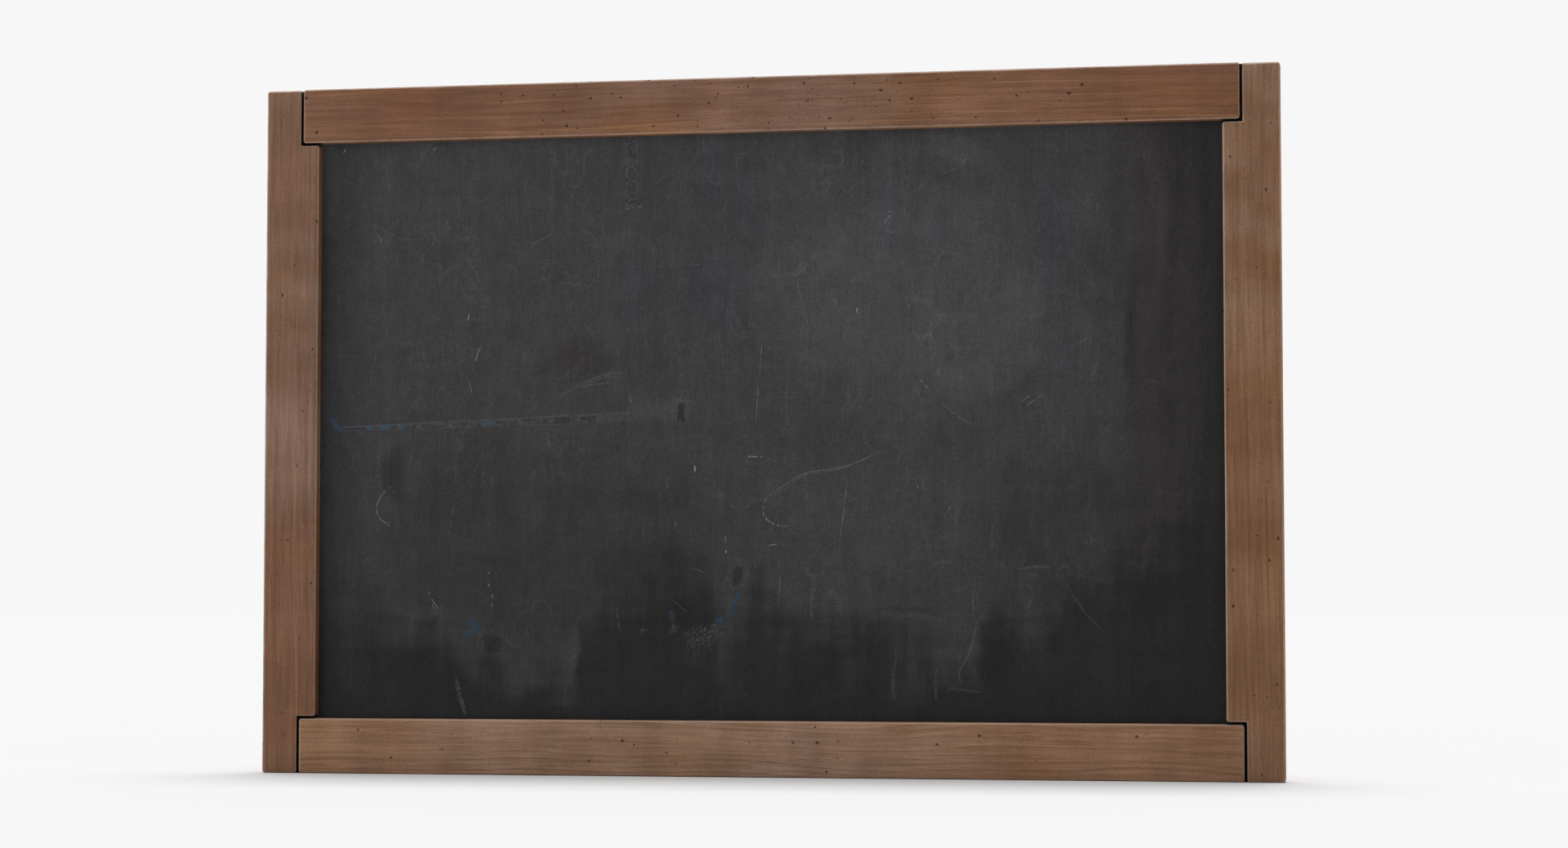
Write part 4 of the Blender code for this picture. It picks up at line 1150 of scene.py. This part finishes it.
def makeMarks(material):
    # each mark is a skin, how much chalk each of its points carries, and the chalk's colour there
    m = markSizes
    marks = []
    for index, (start, end, width, colour, amount, gaps, hatch) in enumerate(residueBands):
        skin, spread = ribbonSkin(throughPoints([start, end]), width, index, taper=False)
        left, film = residueFilm(skin[0] * 1000, colour, gaps, hatch, index)
        marks.append((skin, amount * left * (1 - smoothStep(np.abs(spread[:, 1]), 0.8, 1.0)), film))
    for index, (colour, width, strength, spots) in enumerate(chalkLines):
        path = throughPoints(spots)
        lifted = np.stack([path[:, 0], np.full(len(path), m["apart"] * index), path[:, 1]], -1)
        strays = [latticeNoise(lifted, m["waverCell"], seed) for seed in (141, 142)]
        path = path + m["waver"] * np.stack(strays, -1)
        skin, spread = ribbonSkin(path, width, len(residueBands) + index % 10)
        taken = takenAlong(path, colour, width, index)
        amount = np.concatenate([np.repeat(taken, len(ribbonSection)), taken[[0, -1]]])
        ends = 1 - 0.4 * np.abs(2 * spread[:, 0] - 1) ** 3
        # share of the half width before the line thins out
        fullTo = 0.78 if colour in stuckOn else 0.15 if width >= m["broad"] else 0.45
        sides = 1 - smoothStep(np.abs(spread[:, 1]), fullTo, 1.0)
        marks.append((skin, strength * amount * ends * sides, chalkColours[colour]))
    skins, amounts, colours = zip(*marks)
    points, faces = joinSkins(skins)
    piece = addPiece("chalk_marks", points, faces, material, slot="panel_paint")
    colours = [np.broadcast_to(colour, (len(skin[0]), 3)) for skin, colour in zip(skins, colours)]
    givePaint(piece, points, np.clip(np.concatenate(amounts), 0, 1), np.concatenate(colours))


def givePaint(piece, points, chalk, colours):
    giveValues(piece, chalk=chalk, **paintValues(points[:, 0] * 1000, points[:, 2] * 1000))
    attribute = piece.data.attributes.new("chalkColour", "FLOAT_COLOR", "POINT")
    colours = np.column_stack([colours, np.ones(len(colours))])
    attribute.data.foreach_set("color", colours.astype(np.float32).ravel())


def spacedLines(low, high, fineSpans):
    # lines a step apart from low to high, closer inside the fine spans
    stops = sorted({low, high, *(value for span in fineSpans for value in span)})
    lines = [np.array([low])]
    for start, end in zip(stops[:-1], stops[1:]):
        fine = any(a < (start + end) / 2 < b for a, b in fineSpans)
        step = panelSizes["fineStep" if fine else "step"]
        lines.append(np.linspace(start, end, max(round((end - start) / step), 1) + 1)[1:])
    return np.concatenate(lines)


def makePanel(material):
    # a grid for the face, a chamfer, side walls and one flat back
    p = panelSizes
    half, low, high, edge = p["halfWidth"], p["lowZ"], p["highZ"], p["edge"]
    xs = spacedLines(-half + edge, half - edge, p["fineX"])
    zs = spacedLines(low + edge, high - edge, p["fineZ"])
    m, n = len(xs), len(zs)
    x, z = np.meshgrid(xs, zs, indexing="ij")
    face = np.stack([x, np.full(x.shape, p["faceY"]), z], -1).reshape(-1, 3)
    ids = np.arange(m * n).reshape(m, n)
    first = ids[:-1, :-1].ravel()
    quads = np.stack([first, first + n, first + n + 1, first + 1], -1)
    rim = np.concatenate([ids[:, 0], ids[-1, 1:], ids[-2::-1, -1], ids[0, -2:0:-1]])
    outer = face[rim].copy()
    for axis, lowest, highest in ((0, -half, half), (2, low, high)):
        line = outer[:, axis]
        line = np.where(line < lowest + edge + 1e-9, lowest, line)
        outer[:, axis] = np.where(line > highest - edge - 1e-9, highest, line)
    outer[:, 1] = p["faceY"] + edge
    back = outer.copy()
    back[:, 1] = p["backY"]
    outerIds = m * n + np.arange(len(rim))
    backIds = outerIds + len(rim)
    walls = [np.stack([near, far, np.roll(far, -1), np.roll(near, -1)], -1)
             for near, far in ((rim, outerIds), (outerIds, backIds))]
    points = np.concatenate([face, outer, back])
    panel = addPiece("panel_board", points, [quads, *walls, backIds[None, :]], material, slot="panel_paint",
                     sharpOver=25)
    givePaint(panel, points, np.zeros(len(points)), np.zeros((len(points), 3)))
    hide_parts("writing_panel")


# faint strokes left over from wiping: scale and shift of a slow noise, thickness, scale of their places
# and amount
wipedStrokes = [
    ((19, 19, 11), (3, 1, 7), 0.014, 16, 0.42),
    ((30, 30, 24), (8, 2, 5), 0.016, 22, 0.32),
    ((80, 80, 5), (1, 9, 4), 0.030, 13, 0.26),
]


def makePanelPaint():
    material, g = newMaterial("panel paint")
    tone = g.read("tone")
    weave = g.maths("ADD", g.noise((950, 950, 190), 2, 0.6), g.noise((190, 190, 950), 2, 0.6))
    speck = g.noise(1400, 1)
    chips = g.noise(620, 2.5, 0.6)
    cloud = g.noise((95, 95, 70), 4, 0.65)
    grain = g.scaled(weave, 0.50, -0.50)
    upright, sideways = g.noise((360, 360, 34), 2, 0.6), g.noise((40, 40, 360), 2, 0.6)
    for noise, amount in ((speck, 0.66), (chips, 0.40), (cloud, 0.44), (upright, 0.34), (sideways, 0.22)):
        grain = g.scaled(g.maths("SUBTRACT", noise, 0.5), amount, grain)
    tone = g.scaled(grain, g.scaled(tone, 0.36, 0.29), tone)
    for scale, shift, thin, places, amount in wipedStrokes:
        # thin ridges of the slow noise, here and there
        slow = g.noise(scale, 2, 0.5, shift=shift, distortion=0.4)
        ridge = g.fade(g.maths("ABSOLUTE", g.maths("SUBTRACT", slow, 0.5)), 0.0, thin, 1.0, 0.0)
        here = g.fade(g.noise(places, shift=shift), 0.46, 0.64)
        here = g.times(here, g.times(ridge, g.scaled(tone, 0.6, 0.10)))
        tone = g.scaled(g.times(here, g.fade(speck, 0.35, 0.60)), amount, tone)
    # dust on paint: a straight and a squared share of the tone, so that equal steps look equal
    grey = g.scaled(g.times(tone, tone), 0.080, g.scaled(tone, 0.050, 0.002))
    colour = g.tinted(g.add("CombineColor", {0: grey, 1: grey, 2: grey})[0], (0.99, 0.985, 1.03))
    for name, tint in (("violet", (1.00, 0.965, 1.10)), ("olive", (1.02, 1.01, 0.95)),
                       ("brown", (1.10, 0.95, 0.95))):
        colour = g.blend(g.read(name), colour, g.tinted(colour, tint))
    bare, flake = g.read("bare"), g.read("flake")
    worn = g.fade(g.scaled(bare, 0.12, chips), 0.54, 0.66)
    worn = g.times(worn, g.times(bare, 1.5, clamp=True))
    colour = g.blend(g.times(worn, 0.72), colour, (0.006, 0.006, 0.0055))
    loose = g.fade(g.scaled(flake, 0.20, chips), 0.58, 0.70)
    loose = g.times(loose, g.times(flake, 1.6, clamp=True))
    colour = g.blend(g.times(loose, 0.70), colour, (0.098, 0.098, 0.102))
    chalk = g.times(g.read("chalk"), g.fade(speck, 0.32, 0.60, 0.50, 1.0))
    colour = g.blend(chalk, colour, g.read("chalkColour", "Color"))
    raised = g.maths("MAXIMUM", chalk, loose)
    rough = g.scaled(raised, 0.3, g.fade(cloud, 0.3, 0.7, 0.52, 0.64), clamp=True)
    height = g.scaled(raised, 0.8, g.times(weave, 0.5))
    g.shade(Base_Color=colour, Roughness=rough, Specular_IOR_Level=0.25, Normal=g.bump(height, 0.00018, 0.6))
    return material


panelPaint = makePanelPaint()
makePanel(panelPaint)
makeMarks(panelPaint)
print("panel and its marks made")


# finishes by material slot, for every node that shows its CAD solid and for the fittings

fibreboardSizes = {
    "halfWidth": 0.4171,
    "halfHeight": 0.2726,
    "middleZ": 0.305,
}


def makeFibreboard():
    # pressed brown fibre: an even ground with slow streaks both ways, dark and light flecks, a few pale
    # scuffs, and a border that is darker along the frame
    s = fibreboardSizes
    material, g = newMaterial("backing fibreboard")
    streaks = g.maths("ADD", g.noise((5, 5, 46), 3), g.noise((40, 5, 6), 3))
    colour = g.blend(g.fade(streaks, 0.75, 1.25), (0.166, 0.095, 0.052), (0.182, 0.106, 0.059))
    flecks = g.noise((330, 330, 300), 4, 0.75)
    colour = g.blend(g.fade(flecks, 0.36, 0.47, 0.55, 0.0), colour, (0.082, 0.043, 0.022))
    colour = g.blend(g.fade(flecks, 0.54, 0.66, 0.0, 0.42), colour, (0.300, 0.200, 0.120))
    scuffPlaces = g.noise(9, shift=(0.4, 0, 0.2))
    scuffs = g.fade(g.noise((60, 60, 1300), turn=(0, 0.5, 0)), 0.60, 0.68)
    scuffs = g.times(scuffs, g.fade(scuffPlaces, 0.55, 0.68))
    colour = g.blend(g.times(scuffs, 0.40), colour, (0.36, 0.26, 0.17))
    xyz = g.add("SeparateXYZ", {0: g.where})
    toSide = g.maths("SUBTRACT", s["halfWidth"], g.maths("ABSOLUTE", xyz["X"]))
    offMiddle = g.maths("ABSOLUTE", g.maths("SUBTRACT", xyz["Z"], s["middleZ"]))
    toEnd = g.maths("SUBTRACT", s["halfHeight"], offMiddle)
    border = g.scaled(scuffPlaces, -0.016, g.maths("MINIMUM", toSide, toEnd))
    colour = g.blend(g.fade(border, -0.008, 0.010, 0.55, 0.0), colour, (0.075, 0.048, 0.032))
    g.shade(Base_Color=colour, Roughness=g.fade(flecks, 0.3, 0.7, 0.72, 0.86), Specular_IOR_Level=0.3,
            Normal=g.bump(g.scaled(scuffs, -0.3, flecks), 0.0004, 0.7))
    return material


def makeSteel(name, dull, bright, scale):
    material, g = newMaterial(name)
    spangle = g.add("TexVoronoi", {"Vector": g.where, "Scale": scale})["Color"]
    spangle = g.add("SeparateColor", {0: spangle})["Red"]
    stain = g.noise(160, 3)
    scratch = g.noise((2600, 2600, 300))
    colour = g.blend(g.fade(stain, 0.35, 0.7), bright, dull)
    colour = g.blend(g.times(spangle, 0.25), colour, dull)
    rough = g.scaled(scratch, 0.18, g.fade(stain, 0.3, 0.7, 0.22, 0.36))
    g.shade(Base_Color=colour, Metallic=1.0, Roughness=rough, Normal=g.bump(scratch, 0.00003))
    return material


def makeRubber():
    material, g = newMaterial("bumper rubber")
    grain = g.noise(900)
    dust = g.fade(g.noise(120), 0.45, 0.75, 0.0, 0.5)
    colour = g.blend(dust, (0.020, 0.020, 0.021), (0.055, 0.052, 0.048))
    g.shade(Base_Color=colour, Roughness=g.fade(grain, 0.3, 0.7, 0.62, 0.80), Normal=g.bump(grain, 0.00006))
    return material


def dress(node, material):
    data = nodes[node].data
    if not data.materials:
        data.materials.append(material)
    for index in range(len(data.materials)):
        data.materials[index] = material


slotLooks = {
    "panel_paint": panelPaint,
    "backing_fibreboard": makeFibreboard(),
    "plated_steel": makeSteel("plated steel", (0.40, 0.39, 0.36), (0.62, 0.61, 0.58), 260),
    "screw_steel": makeSteel("screw steel", (0.42, 0.36, 0.22), (0.66, 0.58, 0.38), 500),
    "bumper_rubber": makeRubber(),
}
for part in frame["record"]["subparts"]:
    if part["material_slot"] in slotLooks:
        dress(part["node"], slotLooks[part["material_slot"]])
print("finishes given")


# screws, turn buttons, rings and bumpers

def crossDent(angle):
    # a driver recess: two crossed slots with sloping ends, deepest in the middle
    s = screwSizes
    wide, long, deep = (s[key] for key in ("crossWide", "crossLong", "crossDeep"))
    wallIn, wallOut = s["crossWalls"]

    def arm(along, off):
        sides = 1 - smoothStep(np.abs(off), wide * wallIn, wide * wallOut)
        return sides * (1 - smoothStep(np.abs(along), long * s["crossEnds"], long))

    def dent(u, v):
        a, b = u * math.cos(angle) + v * math.sin(angle), v * math.cos(angle) - u * math.sin(angle)
        bowl = 1 - s["crossBowl"] * np.clip(np.hypot(u, v) / long, 0, 1)
        return deep * np.maximum(arm(a, b), arm(b, a)) * bowl
    return dent


def makeScrew(node, index):
    s = screwSizes
    at = placeOf(node)
    top = at.back
    head, height, shank = s["head"], s["headHeight"], s["shank"]
    inner = np.linspace(0, s["recessReach"], s["recessRings"] + 1)[1:]
    if node.startswith("lap"):
        disc = [(r, 0.0) for r in (*inner, *s["lapRings"])]
        upper = [(0, 0), *disc, (head, -s["flatEase"]), (head, -s["headEdge"]), (shank, -height)]
    else:
        top = top - height
        crown = [(r, s["rim"] + (height - s["rim"]) * math.sqrt(max(1 - (r / head) ** 2, 0)))
                 for r in (*inner, *s["panRings"])]
        upper = [(0, height), *crown, *s["panFoot"], (shank, -s["underHead"])]
    tip = at.front - top
    tipRadius, tipHeight = s["tip"]
    profile = [*upper, (shank, tip + s["point"]), (tipRadius, tip + tipHeight), (0, tip)]
    points, faces = turnedSkin(profile, s["sides"], (at.x, top, at.z), crossDent(index * s["crossTurn"]))
    screw = addPiece(f"{node}_driven", points, faces, slotLooks["screw_steel"], slot="screw_steel")
    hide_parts(node)


buttonSizes = {
    "pivotRadius": 0.0060,
    "noseRadius": 0.0042,
    "reach": 0.0150,
    "hole": 0.00205,
    "holeEase": 0.00006,
    "thickness": 0.0012,
    "rib": 0.00030,        # height of the pressed rib towards the nose
    "ribSpan": (0.0045, 0.0165),
    "ribWidth": 0.0013,
    "ribEnds": 0.002,
    # the rounded edge: how far a row is drawn in, and its height from below or, where negative, from above
    "edgeRows": ((0.00012, 0.0), (0.0, 0.00012), (0.0, -0.00035), (0.00005, -0.00017), (0.00017, -0.00005)),
    "topRows": (0.00035, 0.0009, 0.0016, 0.0023, 0.0030, 0.0036),
    # a row at this share of the way to the hole, and one at this many of its radii
    "holeRows": (0.6, 1.03),
    "steps": (36, 26, 8),  # points round the pivot end, round the nose and along a straight side
}
# degrees: at rest every nose points inward, over the boards
noseTurns = {"bottom": 90, "top": -90, "left": 0, "right": 180}


def buttonOutline(inset):
    # round pivot end, straight tangents and a smaller round nose, all drawn in by the inset
    s = buttonSizes
    pivotSteps, noseSteps, sideSteps = s["steps"]
    lean = math.degrees(math.asin((s["pivotRadius"] - s["noseRadius"]) / s["reach"]))
    pivotEnd = arcPoints((0, 0), s["pivotRadius"] - inset, 90 - lean, 270 + lean, pivotSteps)
    nose = arcPoints((s["reach"], 0), s["noseRadius"] - inset, -90 + lean, 90 - lean, noseSteps)
    between = np.linspace(0, 1, sideSteps + 1)[1:-1, None]
    lower = pivotEnd[-1] + (nose[0] - pivotEnd[-1]) * between
    upper = nose[-1] + (pivotEnd[0] - nose[-1]) * between
    return np.concatenate([pivotEnd, lower, nose, upper])


def makeButton(node, nose):
    # rows of drawn-in outlines over the rounded edge and the top, down the hole and back along the
    # underside: a grid that closes on itself both ways
    s = buttonSizes
    t = s["thickness"]
    pivot = placeOf(node.replace("turn_button_", "turn_button_screw_"))
    angle = np.arctan2(*buttonOutline(0).T[::-1])
    hole = s["hole"] * np.stack([np.cos(angle), np.sin(angle)], -1)
    rows = [(buttonOutline(inset), t + h if h < 0 else h) for inset, h in s["edgeRows"]]
    rows += [(buttonOutline(inset), t) for inset in s["topRows"]]
    toHole, nearHole = s["holeRows"]
    rows += [(rows[-1][0] * (1 - toHole) + hole * toHole, t), (hole * nearHole, t)]
    rows += [(hole, t - s["holeEase"]), (hole, 0)]
    u, v, h = np.moveaxis([np.column_stack([outline, np.full(len(hole), h)]) for outline, h in rows], -1, 0)
    ribStart, ribEnd = s["ribSpan"]
    rib = np.exp(-(v / s["ribWidth"]) ** 2) * np.clip((u - ribStart) / s["ribEnds"], 0, 1)
    rib = rib * np.clip((ribEnd - u) / s["ribEnds"], 0, 1)
    h = np.where(h > t - 1e-6, h + s["rib"] * rib, h)
    turn = math.radians(nose)
    x = pivot.x + u * math.cos(turn) - v * math.sin(turn)
    z = pivot.z + u * math.sin(turn) + v * math.cos(turn)
    points = np.stack([x, placeOf(node).front + h, z], -1).reshape(-1, 3)
    faces = [closedGrid(*u.shape, wrapRows=True)]
    button = addPiece(f"{node}_plate", points, faces, slotLooks["plated_steel"],
                      body=node.replace("turn_button_", "button_"), slot="plated_steel")
    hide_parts(node)


ringSizes = {
    "wire": 0.0013,
    "halfWidth": 0.0143,   # to the wire's middle
    "drop": 0.0176,
    "corner": 0.0020,
    "barY": 0.0131,
    "barZ": 0.4800,
    "sides": 24,
    "steps": (10, 84, 16), # points round a corner, round the bow and along the bar
}


def makeRing(hand):
    # a D of wire: the section is a circle carried square to the path, in the ring's own leaning plane
    s = ringSizes
    node = f"hanger_ring_{hand}"
    at = placeOf(node)
    wire, corner, bow = s["wire"], s["corner"], s["halfWidth"]
    cornerSteps, bowSteps, barSteps = s["steps"]
    path = np.concatenate([
        arcPoints((bow - corner, -corner), corner, 90, 0, cornerSteps)[:-1],
        arcPoints((0, bow - s["drop"]), bow, 0, -180, bowSteps),
        arcPoints((corner - bow, -corner), corner, 180, 90, cornerSteps)[1:],
    ])
    bar = path[-1] + (path[0] - path[-1]) * np.linspace(0, 1, barSteps + 1)[1:-1, None]
    path = np.concatenate([path, bar])
    ahead = np.roll(path, -1, 0) - np.roll(path, 1, 0)
    ahead /= np.linalg.norm(ahead, axis=1)[:, None]
    sideways = np.stack([-ahead[:, 1], ahead[:, 0]], -1)
    around = np.arange(s["sides"]) * 2 * np.pi / s["sides"]
    inPlane = path[:, None, :] + sideways[:, None, :] * (wire * np.cos(around))[None, :, None]
    across, up = inPlane[..., 0], inPlane[..., 1]
    out = wire * np.sin(around)[None, :] + 0 * up
    lean = math.asin((at.back - wire - s["barY"]) / s["drop"])
    y = s["barY"] - up * math.sin(lean) + out * math.cos(lean)
    z = s["barZ"] + up * math.cos(lean) + out * math.sin(lean)
    points = np.stack([at.x + across, y, z], -1).reshape(-1, 3)
    faces = [closedGrid(len(path), s["sides"], wrapRows=True)]
    ring = addPiece(f"{node}_wire", points, faces, slotLooks["plated_steel"], body=f"ring_{hand}",
                    slot="plated_steel")
    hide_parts(node)


bumperSizes = {
    "radius": 0.0070,
    "face": 0.0056,
    "height": 0.0060,
    "round": 0.0010,
    "dimple": 0.0007,
    "dimpleRadius": 0.0026,
    "dishRadius": 0.0030,
    "flatFrom": 0.0040,    # the face is flat from this radius to its rounded edge
    "foot": 0.0060,        # radius where the underside ends
    "sideRows": (0.3, 0.6, 0.92),      # places down the tapered side, from 0 to 1
    "steps": (8, 10),      # over the rounded edge and over the dish
    "sides": 72,
}


def makeBumper(hand):
    # a tapered foot with a rounded outer edge and a shallow dimple in its face
    s = bumperSizes
    node = f"wall_bumper_{hand}"
    at = placeOf(node)
    top, face = s["height"] - s["round"], s["face"]
    rimSteps, dishSteps = s["steps"]
    rim = arcPoints((face - s["round"], top), s["round"], 90, 0, rimSteps)
    dish = [(r, s["height"] - s["dimple"] * max(1 - (r / s["dimpleRadius"]) ** 2, 0) ** 1.5)
            for r in np.linspace(0, s["dishRadius"], dishSteps + 1)]
    side = [(face + (s["radius"] - face) * t, top * (1 - t)) for t in s["sideRows"]]
    profile = [*dish, (s["flatFrom"], s["height"]), *rim, *side, (s["radius"], 0), (s["foot"], 0), (0, 0)]
    points, faces = turnedSkin(profile, s["sides"], (at.x, at.front, at.z))
    bumper = addPiece(f"{node}_foot", points, faces, slotLooks["bumper_rubber"], slot="bumper_rubber")
    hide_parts(node)


for index, node in enumerate(screwNames):
    makeScrew(node, index)
for node in [name for name in nodes if name.startswith("turn_button_") and "screw" not in name]:
    makeButton(node, noseTurns[node.split("_")[2]])
for hand in ("left", "right"):
    makeRing(hand)
    makeBumper(hand)
print("hardware made")

for thing in bpy.context.scene.collection.objects:
    if thing.type == "MESH" and thing.name != "floor":
        lit["all"].objects.link(thing)
